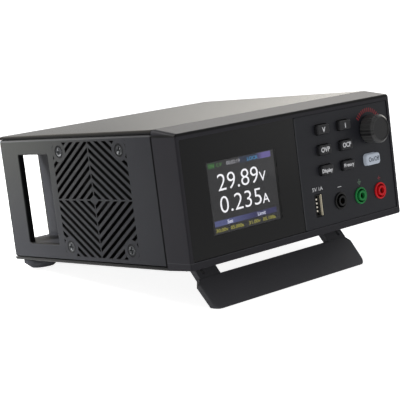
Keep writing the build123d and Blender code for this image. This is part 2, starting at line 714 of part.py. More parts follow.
def make_encoder_body():
    """Rotary encoder on the board with its plain bushing through the panel."""
    housing = block_y(
        ENCODER_SIZE, ENCODER_SIZE, INSET_BACK + TOUCH, CONTROL_BOARD_Y - TOUCH, KNOB_X, KNOB_Z)
    bushing = rod_y(BUSHING_RADIUS, KEYPAD_FRONT - BUSHING_RISE, INSET_BACK + 1, KNOB_X, KNOB_Z)
    bore = rod_y(
        NECK_RADIUS + RUNNING_FIT, KEYPAD_FRONT - BUSHING_RISE - 1,
        INSET_BACK + NECK_REACH + NECK_END_GAP, KNOB_X, KNOB_Z)
    return housing + bushing - bore


def make_encoder_nut():
    """Hexagon nut that holds the bushing to the panel, hidden by the knob."""
    hexagon = Plane.XZ * RegularPolygon(ENCODER_NUT_RADIUS, 6)
    nut = Pos(KNOB_X, KEYPAD_FRONT - TOUCH, KNOB_Z) * extrude(hexagon, ENCODER_NUT_THICKNESS)
    return nut - rod_y(BUSHING_RADIUS + TOUCH, knob_front(), 0, KNOB_X, KNOB_Z)


def knob_front():
    """The y of the flat end of the knob."""
    return KEYPAD_FRONT - KNOB_GAP - KNOB_LENGTH


def shaft_flat(fit):
    """What the flat takes off the shaft, or leaves standing in the bore of the knob."""
    low = KNOB_Z + SHAFT_RADIUS - SHAFT_FLAT + 2 * fit
    end = KEYPAD_FRONT - BUSHING_RISE - HEAD_GAP - SHAFT_FLAT - fit
    return block(KNOB_X - SHAFT_RADIUS - 1, KNOB_X + SHAFT_RADIUS + 1, knob_front(), end, low, low + 3)


def make_encoder_shaft():
    """Shaft turned by the knob, with a flat for the hub."""
    shoulder = KEYPAD_FRONT - BUSHING_RISE - HEAD_GAP
    neck = rod_y(NECK_RADIUS, shoulder - 1, INSET_BACK + NECK_REACH, KNOB_X, KNOB_Z)
    head = rod_y(SHAFT_RADIUS, knob_front() + SHAFT_INSET, shoulder, KNOB_X, KNOB_Z)
    return neck + head - shaft_flat(0.0)


def make_knob():
    """Fluted knob with a smooth rim at its front end and a hollow back."""
    back = KEYPAD_FRONT - KNOB_GAP
    front = knob_front()
    body = rod_y(KNOB_RADIUS, front, back, KNOB_X, KNOB_Z)
    rim = body.faces().sort_by(Axis.Y)[0].edges()
    body = chamfer(rim, KNOB_BEVEL)
    flutes = None
    for turn in range(KNOB_FLUTES):
        angle = math.radians(turn * 360 / KNOB_FLUTES)
        x = KNOB_X + (KNOB_RADIUS + FLUTE_OFFSET) * math.cos(angle)
        z = KNOB_Z + (KNOB_RADIUS + FLUTE_OFFSET) * math.sin(angle)
        cut = rod_y(FLUTE_RADIUS, front + KNOB_RIM, back + 1, x, z)
        flutes = cut if flutes is None else flutes + cut
    body = body - flutes
    body = body - rod_y(KNOB_RADIUS - KNOB_RIM, front - 1, front + KNOB_DISH, KNOB_X, KNOB_Z)
    body = body - rod_y(KNOB_WELL_RADIUS, back - KNOB_WELL_DEPTH, back + 1, KNOB_X, KNOB_Z)
    bore = rod_y(SHAFT_RADIUS + TOUCH, front + SHAFT_INSET - TOUCH, back, KNOB_X, KNOB_Z)
    return body - (bore - shaft_flat(TOUCH))


def jack_places():
    """Centres of the three output sockets, negative, earth and positive."""
    return [JACK_CENTRE_X + step * JACK_PITCH for step in (-1, 0, 1)]


def make_jack(x):
    """Insulated 4 mm safety socket: collar, ring groove and middle tube."""
    front = KEYPAD_FRONT - JACK_FLANGE
    collar = rod_y(JACK_FLANGE_RADIUS, front, KEYPAD_FRONT - TOUCH, x, JACK_Z)
    collar = fillet(collar.faces().sort_by(Axis.Y)[0].edges(), JACK_ROUND)
    barrel = rod_y(JACK_BARREL_RADIUS, front + JACK_FLANGE / 2, front + JACK_DEPTH, x, JACK_Z)
    tip = front - JACK_TUBE_RISE
    tube = rod_y(JACK_GROOVE_INNER, tip, front + JACK_FLANGE, x, JACK_Z)
    floor = front + JACK_GROOVE_DEPTH
    groove = rod_y(JACK_GROOVE_OUTER, front - 1, floor, x, JACK_Z)
    groove = groove - rod_y(JACK_GROOVE_INNER, front - 2, floor + 1, x, JACK_Z)
    mouth = rod_y(PLUG_RADIUS, tip - 1, front + JACK_MOUTH + 1, x, JACK_Z)
    bore = rod_y(
        PLUG_RADIUS + SLEEVE_WALL + TOUCH, front + JACK_MOUTH, front + JACK_DEPTH + 1, x, JACK_Z)
    return collar + barrel - groove + tube - mouth - bore


def make_jack_sleeves():
    """Contact tubes inside the sockets, each with a solder pin behind."""
    front = KEYPAD_FRONT - JACK_FLANGE + JACK_MOUTH + TOUCH
    back = KEYPAD_FRONT - JACK_FLANGE + JACK_DEPTH
    pieces = []
    for x in jack_places():
        tube = rod_y(PLUG_RADIUS + SLEEVE_WALL, front, back + SLEEVE_END, x, JACK_Z)
        tube = tube - rod_y(PLUG_RADIUS, front - 1, back - SLEEVE_END, x, JACK_Z)
        pin = rod_y(SOLDER_PIN_RADIUS, back, back + SLEEVE_END + SOLDER_PIN_LENGTH, x, JACK_Z)
        pieces.append(tube + pin)
    return group(pieces)


def make_jack_nuts():
    """Ring nuts that clamp the sockets from behind the keypad panel."""
    pieces = []
    for x in jack_places():
        hexagon = Plane.XZ * RegularPolygon(JACK_NUT_RADIUS, 6)
        back = INSET_BACK + TOUCH + JACK_NUT_THICKNESS
        nut = Pos(x, back, JACK_Z) * extrude(hexagon, JACK_NUT_THICKNESS)
        pieces.append(nut - rod_y(JACK_BARREL_RADIUS + TOUCH, FRONT, 0, x, JACK_Z))
    return group(pieces)


def make_usb_shell():
    """Folded metal shell of the charging socket."""
    back = KEYPAD_FRONT + USB_DEPTH
    shell = usb_opening(0.0, KEYPAD_FRONT + USB_SETBACK, back)
    return shell - usb_opening(-USB_SHEET, FRONT - 1, back - USB_SHEET)


def make_usb_tongue():
    """Insulating tongue with its root block at the back of the shell."""
    back = KEYPAD_FRONT + USB_DEPTH - USB_SHEET - TOUCH
    height = USB_LENGTH - 2 * (USB_SHEET + USB_TONGUE_PLAY)
    middle = USB_X + USB_TONGUE_OFFSET + USB_TONGUE / 2
    tongue = block_y(USB_TONGUE, height, KEYPAD_FRONT + USB_TONGUE_SETBACK, back, middle, USB_Z)
    width = USB_HEIGHT - 2 * (USB_SHEET + TOUCH)
    return tongue + block_y(width, height, back - USB_ROOT, back, USB_X, USB_Z)


def make_usb_contacts():
    """Four spring strips on the tongue."""
    pieces = []
    front = KEYPAD_FRONT + USB_TONGUE_SETBACK + USB_CONTACT_WIDTH / 2
    x = USB_X + USB_TONGUE_OFFSET - TOUCH - USB_CONTACT / 2
    for step in (-1.5, -0.5, 0.5, 1.5):
        z = USB_Z + step * USB_CONTACT_PITCH
        pieces.append(block_y(
            USB_CONTACT, USB_CONTACT_WIDTH, front, front + USB_CONTACT_LENGTH, x, z))
    return group(pieces)


# ---------------------------------------------------------------- display and boards

def make_lcd_glass():
    """Glass of the display just behind the window."""
    return block_y(
        LCD_GLASS_WIDTH, LCD_GLASS_HEIGHT, LCD_FRONT, LCD_FRONT + LCD_GLASS_THICKNESS,
        LCD_CENTRE_X, LCD_CENTRE_Z)


def make_lcd_frame():
    """Pressed metal frame that carries the display glass."""
    width = LCD_GLASS_WIDTH + 2 * LCD_FIT
    height = LCD_GLASS_HEIGHT + 2 * LCD_FIT
    outer = block_y(
        width + 2 * LCD_FRAME_WALL, height + 2 * LCD_FRAME_WALL, LCD_FRONT,
        LCD_FRONT + LCD_FRAME_DEPTH, LCD_CENTRE_X, LCD_CENTRE_Z)
    pocket = block_y(
        width, height, LCD_FRONT - 1, LCD_FRONT + LCD_GLASS_THICKNESS + TOUCH, LCD_CENTRE_X,
        LCD_CENTRE_Z)
    return outer - pocket


def control_board_outline():
    """Left, right, lower and upper edge of the board behind the front."""
    reach = INSET_HALF_WIDTH - CONTROL_BOARD_MARGIN
    low = INSET_BOTTOM + CONTROL_BOARD_INSET
    high = INSET_TOP - CONTROL_BOARD_INSET
    return -reach, reach, low, high


def post_places():
    """Centres of the four posts at the corners of the board behind the front."""
    left, right, low, high = control_board_outline()
    return [
        (x, z)
        for x in (left + POST_INSET, right - POST_INSET)
        for z in (low + POST_INSET, high - POST_INSET)
    ]


def make_control_board():
    """Board behind the front panel that carries switches, encoder and display."""
    left, right, low, high = control_board_outline()
    board = block(left, right, CONTROL_BOARD_Y, CONTROL_BOARD_Y + BOARD, low, high)
    for x in jack_places():
        board = board - rod_y(JACK_BARREL_RADIUS + BOARD_PLAY, FRONT, 0, x, JACK_Z)
    board = board - usb_opening(BOARD_PLAY, FRONT, 0)
    for x, z in post_places():
        board = board - rod_y(BOARD_HOLE_RADIUS, FRONT, 0, x, z)
    return board


def make_bezel_posts():
    """Four posts and screws between the bezel wall and the control board."""
    pieces = []
    back = CONTROL_BOARD_Y + BOARD + TOUCH
    for x, z in post_places():
        post = rod_y(POST_RADIUS, FRONT + FRONT_WALL + TOUCH, CONTROL_BOARD_Y - TOUCH, x, z)
        screw = rod_y(BOARD_SCREW_RADIUS, CONTROL_BOARD_Y - 1, back + 1, x, z)
        head = rod_y(BOARD_SCREW_HEAD, back, back + BOARD_SCREW_HEAD_HEIGHT, x, z)
        pieces.append(post + screw + head)
    return group(pieces)


def spacer_places():
    """Centres of the four spacers at the corners of the power board."""
    reach = MAIN_BOARD_HALF_WIDTH - SPACER_INSET
    return [
        (x, y)
        for x in (-reach, reach)
        for y in (MAIN_BOARD_FRONT + SPACER_INSET, MAIN_BOARD_REAR - SPACER_INSET)
    ]


def make_main_board():
    """Power board on four spacers over the floor."""
    board = block(
        -MAIN_BOARD_HALF_WIDTH, MAIN_BOARD_HALF_WIDTH, MAIN_BOARD_FRONT, MAIN_BOARD_REAR,
        MAIN_BOARD_Z, MAIN_BOARD_Z + BOARD)
    for x, y in spacer_places():
        board = board - rod_z(BOARD_HOLE_RADIUS, 0, BOARD_TOP + 1, x, y)
    return board


def make_board_spacers():
    """Spacers with their screws, through the power board."""
    pieces = []
    for x, y in spacer_places():
        post = rod_z(SPACER_RADIUS, SHEET + TOUCH, MAIN_BOARD_Z - TOUCH, x, y)
        screw = rod_z(BOARD_SCREW_RADIUS, MAIN_BOARD_Z - 1, BOARD_TOP + 1, x, y)
        head = rod_z(BOARD_SCREW_HEAD, BOARD_TOP, BOARD_TOP + BOARD_SCREW_HEAD_HEIGHT, x, y)
        pieces.append(post + screw + head)
    return group(pieces)


def make_transformer_core():
    """Ferrite core in two halves round the middle leg."""
    middle = BOARD_TOP + CORE_HEIGHT / 2
    front = CORE_Y - CORE_DEPTH / 2
    back = CORE_Y + CORE_DEPTH / 2
    core = block_y(CORE_WIDTH, CORE_HEIGHT, front, back, CORE_X, middle)
    window = block_y(
        CORE_WIDTH - 2 * CORE_YOKE, CORE_HEIGHT - 2 * CORE_YOKE, front - 1, back + 1, CORE_X, middle)
    leg = block_y(CORE_LEG, CORE_HEIGHT - 2 * CORE_YOKE, front, back, CORE_X, middle)
    return core - window + leg


def make_transformer_winding():
    """Taped winding round the middle leg of the core."""
    middle = BOARD_TOP + CORE_HEIGHT / 2
    front = CORE_Y - CORE_DEPTH / 2
    back = CORE_Y + CORE_DEPTH / 2
    height = CORE_HEIGHT - 2 * (CORE_YOKE + WINDING_PLAY)
    tape = block_y(
        CORE_WIDTH - 2 * (CORE_YOKE + WINDING_PLAY), height, front - WINDING_REACH,
        back + WINDING_REACH, CORE_X, middle)
    tape = fillet(tape.edges().filter_by(Axis.Z), WINDING_REACH / 2)
    return tape - block_y(
        CORE_LEG + 2 * TOUCH, CORE_HEIGHT, front - TOUCH, back + TOUCH, CORE_X, middle)


def make_ring_choke():
    """Ring wound with enamelled wire, standing on the board."""
    middle = BOARD_TOP + CHOKE_RADIUS + CHOKE_WIRE
    return Pos(CHOKE_X, CHOKE_Y, middle) * Rot(0, 90, 0) * Torus(CHOKE_RADIUS, CHOKE_WIRE)


def make_capacitors():
    """Two large capacitors standing on the board."""
    pieces = []
    for x in CAPACITOR_PLACES:
        can = rod_z(CAPACITOR_RADIUS, BOARD_TOP, BOARD_TOP + CAPACITOR_HEIGHT, x, CAPACITOR_Y)
        can = fillet(can.faces().sort_by(Axis.Z)[-1].edges(), 1.0)
        pieces.append(can)
    return group(pieces)


def make_heatsink(x0):
    """Extruded cooler with upright fins."""
    top = BOARD_TOP + HEATSINK_HEIGHT
    far = x0 + HEATSINK_DEPTH
    sink = block(x0, x0 + HEATSINK_BASE, HEATSINK_Y, HEATSINK_Y + HEATSINK_LENGTH, BOARD_TOP, top)
    pitch = (HEATSINK_LENGTH - HEATSINK_FIN) / (HEATSINK_FINS - 1)
    for step in range(HEATSINK_FINS):
        y = HEATSINK_Y + step * pitch
        sink = sink + block(x0, far, y, y + HEATSINK_FIN, BOARD_TOP, top)
    return sink


def make_transistors():
    """Flat power transistors on the plain faces of the two coolers."""
    pieces = []
    low = BOARD_TOP + TRANSISTOR_LIFT
    for sink in (HEATSINK_LEFT, HEATSINK_RIGHT):
        for share in (0.25, 0.75):
            x = sink - TOUCH
            y = HEATSINK_Y + share * HEATSINK_LENGTH - TRANSISTOR_WIDTH / 2
            pieces.append(block(
                x - TRANSISTOR_THICKNESS, x, y, y + TRANSISTOR_WIDTH, low, low + TRANSISTOR_HEIGHT))
    return group(pieces)


def make_fan_frame():
    """Square fan frame with a round bore and a motor carrier on four arms."""
    near = -SIDE_INNER + FAN_GAP
    far = near + FAN_DEPTH
    half = FAN_SIZE / 2
    frame = block(near, far, FAN_Y - half, FAN_Y + half, FAN_Z - half, FAN_Z + half)
    frame = fillet(frame.edges().filter_by(Axis.X), FAN_CORNER)
    frame = frame - rod_x(FAN_BORE, near - 1, far + 1, FAN_Y, FAN_Z)
    for y, z in fan_screw_places():
        frame = frame - rod_x(SCREW_RADIUS + COUNTERSINK_PLAY, near - 1, far + 1, y, z)
    carrier = rod_x(FAN_HUB, far - FAN_CARRIER, far, FAN_Y, FAN_Z)
    for turn in range(4):
        arm = block(
            far - FAN_CARRIER, far, FAN_Y - FAN_ARM / 2, FAN_Y + FAN_ARM / 2, FAN_Z + FAN_HUB - 1,
            FAN_Z + FAN_BORE + 1)
        carrier = carrier + arm.rotate(Axis((0, FAN_Y, FAN_Z), (1, 0, 0)), 45 + 90 * turn)
    return frame + carrier - rod_x(FAN_SHAFT_RADIUS + RUNNING_FIT, near, far + 1, FAN_Y, FAN_Z)


def make_fan_rotor():
    """Hub with seven pitched blades on a thin shaft."""
    back = -SIDE_INNER + FAN_GAP + FAN_DEPTH
    near = -SIDE_INNER + FAN_GAP + ROTOR_PLAY
    far = back - FAN_CARRIER - ROTOR_PLAY / 2
    hub = rod_x(FAN_HUB, near, far, FAN_Y, FAN_Z)
    hub = fillet(hub.faces().sort_by(Axis.X)[0].edges(), 1.5)
    middle = (near + far) / 2
    height = FAN_BORE - FAN_HUB
    tips = rod_x(FAN_TIP, near, far, FAN_Y, FAN_Z)
    blades = None
    for turn in range(FAN_BLADES):
        blade = Pos(middle, 0, FAN_HUB + height / 2 - 1) * Rot(0, 0, FAN_BLADE_PITCH) * Box(
            FAN_DEPTH, FAN_BLADE_THICKNESS, height + 2)
        blade = Rot(turn * 360 / FAN_BLADES, 0, 0) * blade
        blades = blade if blades is None else blades + blade
    blades = (Pos(0, FAN_Y, FAN_Z) * blades) & tips
    return hub + blades + rod_x(FAN_SHAFT_RADIUS, far - 1, back, FAN_Y, FAN_Z)


# ---------------------------------------------------------------- mains side

def make_mains_inlet():
    """Screwed mains inlet with its earthed plug cavity."""
    outline = Plane.XZ * RectangleRounded(
        INLET_FLANGE_WIDTH, INLET_FLANGE_HEIGHT, INLET_FLANGE_CORNER)
    flange = Pos(INLET_X, REAR_FACE + INLET_FLANGE, INLET_Z) * extrude(
        outline, INLET_FLANGE - TOUCH)
    body = block_y(
        INLET_BODY_WIDTH, INLET_BODY_HEIGHT, REAR_FACE - INLET_DEPTH, REAR_FACE + INLET_FLANGE / 2,
        INLET_X, INLET_Z)
    wide = INLET_CAVITY_WIDTH / 2
    high = INLET_CAVITY_HEIGHT / 2
    corner = INLET_CAVITY_CORNER
    cavity = Plane.XZ * make_face(Polyline(
        (-wide, -high), (wide, -high), (wide, high - corner), (wide - corner, high),
        (corner - wide, high), (-wide, high - corner), close=True))
    depth = INLET_DEPTH + INLET_FLANGE - INLET_WALL
    cavity = Pos(INLET_X, REAR_FACE + INLET_FLANGE + 1, INLET_Z) * extrude(cavity, depth + 1)
    inlet = flange + body - cavity
    for side in (-1, 1):
        inlet = inlet - rod_y(
            INLET_SCREW_RADIUS + CUTOUT_PLAY, REAR_FACE - 1, REAR_FACE + INLET_FLANGE + 1,
            INLET_X + side * INLET_SCREW_REACH, INLET_Z)
    for dx, dz in INLET_BLADES:
        inlet = inlet - block_y(
            INLET_BLADE_WIDTH + 2 * TOUCH, INLET_BLADE_HEIGHT + 2 * TOUCH,
            REAR_FACE - INLET_DEPTH - 1, REAR_FACE, INLET_X + dx, INLET_Z + dz)
    return inlet


def make_inlet_blades():
    """Three flat contacts of the mains inlet."""
    pieces = []
    for dx, dz in INLET_BLADES:
        pieces.append(block_y(
            INLET_BLADE_WIDTH, INLET_BLADE_HEIGHT, REAR_FACE - INLET_DEPTH - INLET_BLADE_TAIL,
            REAR_FACE - INLET_BLADE_SETBACK, INLET_X + dx, INLET_Z + dz))
    return group(pieces)


def make_inlet_screws():
    """Two round-head screws of the mains inlet."""
    seat = REAR_FACE + INLET_FLANGE + TOUCH
    pieces = []
    for side in (-1, 1):
        x = INLET_X + side * INLET_SCREW_REACH
        top = seat + INLET_SCREW_HEAD_HEIGHT
        head = rod_y(INLET_SCREW_HEAD, seat, top, x, INLET_Z)
        head = fillet(head.faces().sort_by(Axis.Y)[-1].edges(), INLET_SCREW_ROUND)
        slot = block_y(
            INLET_CROSS_LENGTH, INLET_CROSS_WIDTH, top - INLET_CROSS_DEPTH, top + 1, x, INLET_Z)
        cross = slot + slot.rotate(Axis((x, 0, INLET_Z), (0, 1, 0)), 90)
        shank = rod_y(
            INLET_SCREW_RADIUS, REAR_FACE - INLET_SCREW_LENGTH, seat + INLET_CROSS_DEPTH / 2, x,
            INLET_Z)
        pieces.append(head - cross + shank)
    return group(pieces)


def make_rocker_housing():
    """Frame of the mains switch, pressed into the rear panel."""
    outline = Plane.XZ * RectangleRounded(ROCKER_RIM_WIDTH, ROCKER_RIM_HEIGHT, ROCKER_RIM_CORNER)
    rim = Pos(ROCKER_X, REAR_FACE + ROCKER_RIM, ROCKER_Z) * extrude(outline, ROCKER_RIM - TOUCH)
    body = block_y(
        ROCKER_BODY_WIDTH, ROCKER_BODY_HEIGHT, REAR_FACE - ROCKER_BODY_DEPTH,
        REAR_FACE + ROCKER_RIM / 2, ROCKER_X, ROCKER_Z)
    well = block_y(
        ROCKER_LENGTH + 2 * ROCKER_END_PLAY, ROCKER_WIDTH + 2 * ROCKER_SIDE_PLAY,
        REAR_FACE - ROCKER_WELL_DEPTH, REAR_FACE + ROCKER_RIM + 1, ROCKER_X, ROCKER_Z)
    reach = ROCKER_WIDTH / 2 + ROCKER_PIVOT_REACH + ROCKER_SIDE_PLAY
    pivot = rod_z(
        ROCKER_PIVOT_RADIUS + RUNNING_FIT, ROCKER_Z - reach, ROCKER_Z + reach, ROCKER_X,
        REAR_FACE - ROCKER_PIVOT_DEPTH)
    return rim + body - well - pivot


def make_mains_rocker():
    """Rocker of the mains switch, drawn with its off end pressed in."""
    end = ROCKER_LENGTH / 2
    keel = ROCKER_KEEL_HALF_WIDTH
    profile = make_face(Polyline(
        (-end, ROCKER_EDGE), (0, ROCKER_CROWN), (end, ROCKER_EDGE), (end, -ROCKER_SKIRT),
        (keel, -ROCKER_KEEL), (-keel, -ROCKER_KEEL), (-end, -ROCKER_SKIRT), close=True))
    rocker = Pos(0, ROCKER_PIVOT_DEPTH, 0) * extrude(profile, ROCKER_WIDTH / 2, both=True)
    rocker = rocker + Cylinder(ROCKER_PIVOT_RADIUS, ROCKER_WIDTH + 2 * ROCKER_PIVOT_REACH)
    return Pos(ROCKER_X, REAR_FACE - ROCKER_PIVOT_DEPTH, ROCKER_Z) * Rot(0, 0, ROCKER_ANGLE) * rocker


# ---------------------------------------------------------------- feet and bail

def make_foot(x, y, top, sole):
    """Rubber foot: a flat disc that tapers to the sole, with a sunk screw hole."""
    taper = FOOT_HEIGHT - FOOT_RIM_HEIGHT
    foot = rod_z(top, -FOOT_RIM_HEIGHT, -TOUCH, x, y)
    foot = foot + Pos(x, y, -FOOT_RIM_HEIGHT - taper / 2) * Cone(sole, top, taper)
    foot = foot - rod_z(FOOT_SCREW_RADIUS + FOOT_SCREW_PLAY, -FOOT_HEIGHT, 0, x, y)
    return foot - rod_z(
        FOOT_SCREW_HEAD + FOOT_SCREW_PLAY, -FOOT_HEIGHT - 1, -FOOT_SCREW_SEAT, x, y)


def make_foot_screw(x, y):
    """Foot screw from below, through foot and floor."""
    seat = -FOOT_SCREW_SEAT - TOUCH
    low = seat - FOOT_SCREW_HEAD_HEIGHT
    long = FOOT_CROSS_LENGTH / 2
    wide = FOOT_CROSS_WIDTH / 2
    head = rod_z(FOOT_SCREW_HEAD, low, seat, x, y)
    slot = block(x - long, x + long, y - wide, y + wide, low - 1, low + FOOT_CROSS_DEPTH)
    cross = slot + slot.rotate(Axis((x, y, 0), (0, 0, 1)), 90)
    return head - cross + rod_z(FOOT_SCREW_RADIUS, seat - 0.1, FOOT_SCREW_REACH, x, y)


def bail_plane():
    """Middle plane of the bail: x along the hinge, y up the bail, z out of its front face."""
    return Plane(origin=BAIL_AXIS, x_dir=(1, 0, 0), z_dir=BAIL_FACE)


def make_bail():
    """Swing-out front support: two hinge arms, a bevelled plate and a foot edge level with the desk."""
    half = BAIL_THICKNESS / 2
    top = -BAIL_WINDOW_LENGTH
    low = -BAIL_LENGTH
    foot = BAIL_HALF_WIDTH - BAIL_TAPER
    outline = make_face(Polyline(
        (-BAIL_ARM_OUTER, top), (-BAIL_HALF_WIDTH, top - BAIL_SHOULDER), (-foot, low),
        (foot, low), (BAIL_HALF_WIDTH, top - BAIL_SHOULDER), (BAIL_ARM_OUTER, top), close=True))
    outline = fillet(outline.vertices().group_by(Axis.Y)[0], BAIL_CORNER)
    plate = extrude(outline, half, both=True)
    sides = plate.faces().sort_by(Axis.Z)[-1].edges()
    plate = chamfer(sides, BAIL_BEVEL)
    for side in (-1, 1):
        centre = side * (BAIL_ARM_INNER + BAIL_ARM_OUTER) / 2
        width = BAIL_ARM_OUTER - BAIL_ARM_INNER
        arm = Pos(centre, top / 2, 0) * Box(width, ARM_LAP - top, BAIL_THICKNESS)
        gap = Pos(side * BAIL_SLOT_X, -BAIL_SLOT_PLACE, 0) * Box(
            BAIL_SLOT_WIDTH, BAIL_SLOT_LENGTH, BAIL_THICKNESS + 2)
        hub = Pos(centre, 0, 0) * Rot(0, 90, 0) * Cylinder(HUB_RADIUS, width)
        plate = plate + (arm - gap) + hub
    bore = Rot(0, 90, 0) * Cylinder(PIN_RADIUS + RUNNING_FIT, CASE_WIDTH)
    arm_top = Pos(0, HUB_RADIUS + HUB_TRIM / 2, 0) * Box(CASE_WIDTH, HUB_TRIM, 3 * BAIL_THICKNESS)
    bail = bail_plane() * (plate - bore - arm_top)
    desk = Pos(0, BAIL_EDGE.Y, BAIL_EDGE.Z) * Rot(STAND_ANGLE, 0, 0)
    below = desk * Pos(0, 0, -BAIL_LENGTH / 2) * Box(CASE_WIDTH, 2 * BAIL_LENGTH, BAIL_LENGTH)
    return bail - below


def make_bail_bracket(side):
    """Bracket under the floor with two lugs that hold the hinge pin."""
    inner = BAIL_ARM_INNER - LUG_GAP
    outer = BAIL_ARM_OUTER + LUG_GAP
    base = block(
        inner - LUG_THICKNESS, outer + LUG_THICKNESS, BAIL_AXIS_Y - BRACKET_HALF_DEPTH,
        BAIL_AXIS_Y + BRACKET_HALF_DEPTH, -BRACKET_BASE, -TOUCH)
    for x in (inner - LUG_THICKNESS, outer):
        lug = rod_x(LUG_RADIUS, x, x + LUG_THICKNESS, BAIL_AXIS_Y, BAIL_AXIS_Z)
        web = block(
            x, x + LUG_THICKNESS, BAIL_AXIS_Y - LUG_RADIUS, BAIL_AXIS_Y + LUG_RADIUS, BAIL_AXIS_Z,
            -TOUCH)
        base = base + lug + web
    base = base - rod_x(PIN_RADIUS + PIN_SEAT, 0, HALF_WIDTH, BAIL_AXIS_Y, BAIL_AXIS_Z)
    return Pos(BAIL_CENTRE, 0, 0) * (base if side > 0 else mirrored(base))


def make_bail_pin():
    """Plain hinge pin with a flat head at its outer end."""
    start = BAIL_ARM_INNER - LUG_GAP - LUG_THICKNESS
    end = BAIL_ARM_OUTER + LUG_GAP + LUG_THICKNESS
    pin = rod_x(PIN_RADIUS, start, end, BAIL_AXIS_Y, BAIL_AXIS_Z)
    return pin + rod_x(PIN_HEAD_RADIUS, end, end + PIN_HEAD, BAIL_AXIS_Y, BAIL_AXIS_Z)


# ---------------------------------------------------------------- assembly

left_pocket = make_left_grip_pocket()

nodes = {
    "bottom_tray": make_bottom_tray(),
    "top_cover": make_top_cover(),
    "left_side_panel": make_side_panel(True),
    "right_side_panel": mirrored(make_side_panel(False)),
    "rear_panel": make_rear_panel(),
    "left_grip_pocket": left_pocket,
    "right_grip_pocket": mirrored(left_pocket),
    "front_bezel": make_front_bezel(),
    "display_lens": make_display_lens(),
    "lcd_glass": make_lcd_glass(),
    "lcd_frame": make_lcd_frame(),
    "keypad_panel": make_keypad_panel(),
    "control_board": make_control_board(),
    "bezel_posts": make_bezel_posts(),
    "key_switches": make_switches(),
    "encoder_body": make_encoder_body(),
    "encoder_nut": make_encoder_nut(),
    "encoder_shaft": make_encoder_shaft(),
    "knob": make_knob(),
    "output_key": make_key(
        OUTPUT_KEY_X, KEY_ROWS[2], OUTPUT_KEY_WIDTH, OUTPUT_KEY_HEIGHT, OUTPUT_KEY_CORNER),
    "jack_sleeves": make_jack_sleeves(),
    "jack_nuts": make_jack_nuts(),
    "usb_shell": make_usb_shell(),
    "usb_tongue": make_usb_tongue(),
    "usb_contacts": make_usb_contacts(),
    "fan_frame": make_fan_frame(),
    "fan_rotor": make_fan_rotor(),
    "fan_screws": make_side_screws(),
    "main_board": make_main_board(),
    "board_spacers": make_board_spacers(),
    "transformer_core": make_transformer_core(),
    "transformer_winding": make_transformer_winding(),
    "ring_choke": make_ring_choke(),
    "capacitors": make_capacitors(),
    "heatsink_left": make_heatsink(HEATSINK_LEFT),
    "heatsink_right": make_heatsink(HEATSINK_RIGHT),
    "power_transistors": make_transistors(),
    "mains_inlet": make_mains_inlet(),
    "inlet_blades": make_inlet_blades(),
    "inlet_screws": make_inlet_screws(),
    "rocker_housing": make_rocker_housing(),
    "mains_rocker": make_mains_rocker(),
    "rear_feet": both_sides(make_foot(FOOT_X, FOOT_Y, FOOT_TOP_RADIUS, FOOT_SOLE_RADIUS)),
    "front_feet": both_sides(make_foot(
        FRONT_FOOT_X, FRONT_FOOT_Y, FRONT_FOOT_RADIUS, FRONT_FOOT_RADIUS - FRONT_FOOT_TAPER)),
    "foot_screws": group([
        make_foot_screw(side * x, y) for x, y in foot_places() for side in (-1, 1)]),
    "bail": make_bail(),
    "bail_bracket_left": make_bail_bracket(-1),
    "bail_bracket_right": make_bail_bracket(1),
    "bail_pins": Pos(BAIL_CENTRE, 0, 0) * both_sides(make_bail_pin()),
}

key_names = (
    ("key_volts", "key_limit_volts", "key_view"),
    ("key_amps", "key_limit_amps", "key_store"))
for x, names in zip(KEY_COLUMNS, key_names):
    for z, name in zip(KEY_ROWS, names):
        nodes[name] = make_key(x, z, KEY_WIDTH, KEY_HEIGHT, KEY_CORNER)

jack_names = ("jack_negative", "jack_earth", "jack_positive")
for x, name in zip(jack_places(), jack_names):
    nodes[name] = make_jack(x)

# Swing the level case back until the sole edges and the bail edge touch the same desk plane,
# then put the origin under the middle of the whole unit.
swing = Rot(-STAND_ANGLE, 0, 0)
standing = {name: swing * shape for name, shape in nodes.items()}
boxes = [shape.bounding_box() for shape in standing.values()]
front = min(box.min.Y for box in boxes)
rear = max(box.max.Y for box in boxes)
floor = min(box.min.Z for box in boxes)
settle = Pos(0, -(front + rear) / 2, -floor)

for name, shape in standing.items():
    export_step(settle * shape, f"parts/{name}.step")
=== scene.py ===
import json
import math

import bmesh
import bpy
from bpy.props import FloatProperty, FloatVectorProperty, PointerProperty, StringProperty
from mathutils import Matrix, Vector


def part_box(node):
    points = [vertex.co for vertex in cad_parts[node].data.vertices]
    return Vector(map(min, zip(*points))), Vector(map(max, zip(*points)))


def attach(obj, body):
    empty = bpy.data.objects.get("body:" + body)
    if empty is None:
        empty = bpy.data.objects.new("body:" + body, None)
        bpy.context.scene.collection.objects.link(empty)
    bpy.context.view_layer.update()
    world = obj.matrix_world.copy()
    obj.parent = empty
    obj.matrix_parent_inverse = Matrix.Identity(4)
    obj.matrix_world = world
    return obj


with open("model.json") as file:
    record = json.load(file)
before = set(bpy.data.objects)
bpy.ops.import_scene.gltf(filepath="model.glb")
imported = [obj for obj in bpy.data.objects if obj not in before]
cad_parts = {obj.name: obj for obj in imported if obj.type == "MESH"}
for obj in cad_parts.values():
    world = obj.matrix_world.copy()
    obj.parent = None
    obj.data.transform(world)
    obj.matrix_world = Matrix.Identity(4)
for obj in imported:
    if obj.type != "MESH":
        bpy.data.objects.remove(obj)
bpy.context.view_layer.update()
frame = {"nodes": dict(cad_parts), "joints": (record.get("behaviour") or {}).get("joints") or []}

bl_info = {
    "name": "Bench power supply",
    "version": (1, 0, 0),
    "blender": (4, 5, 0),
    "location": "View3D > Sidebar > Supply",
    "description": "Finishes, lit display, printed marks and studio stage of a small bench power supply",
    "category": "Object",
}

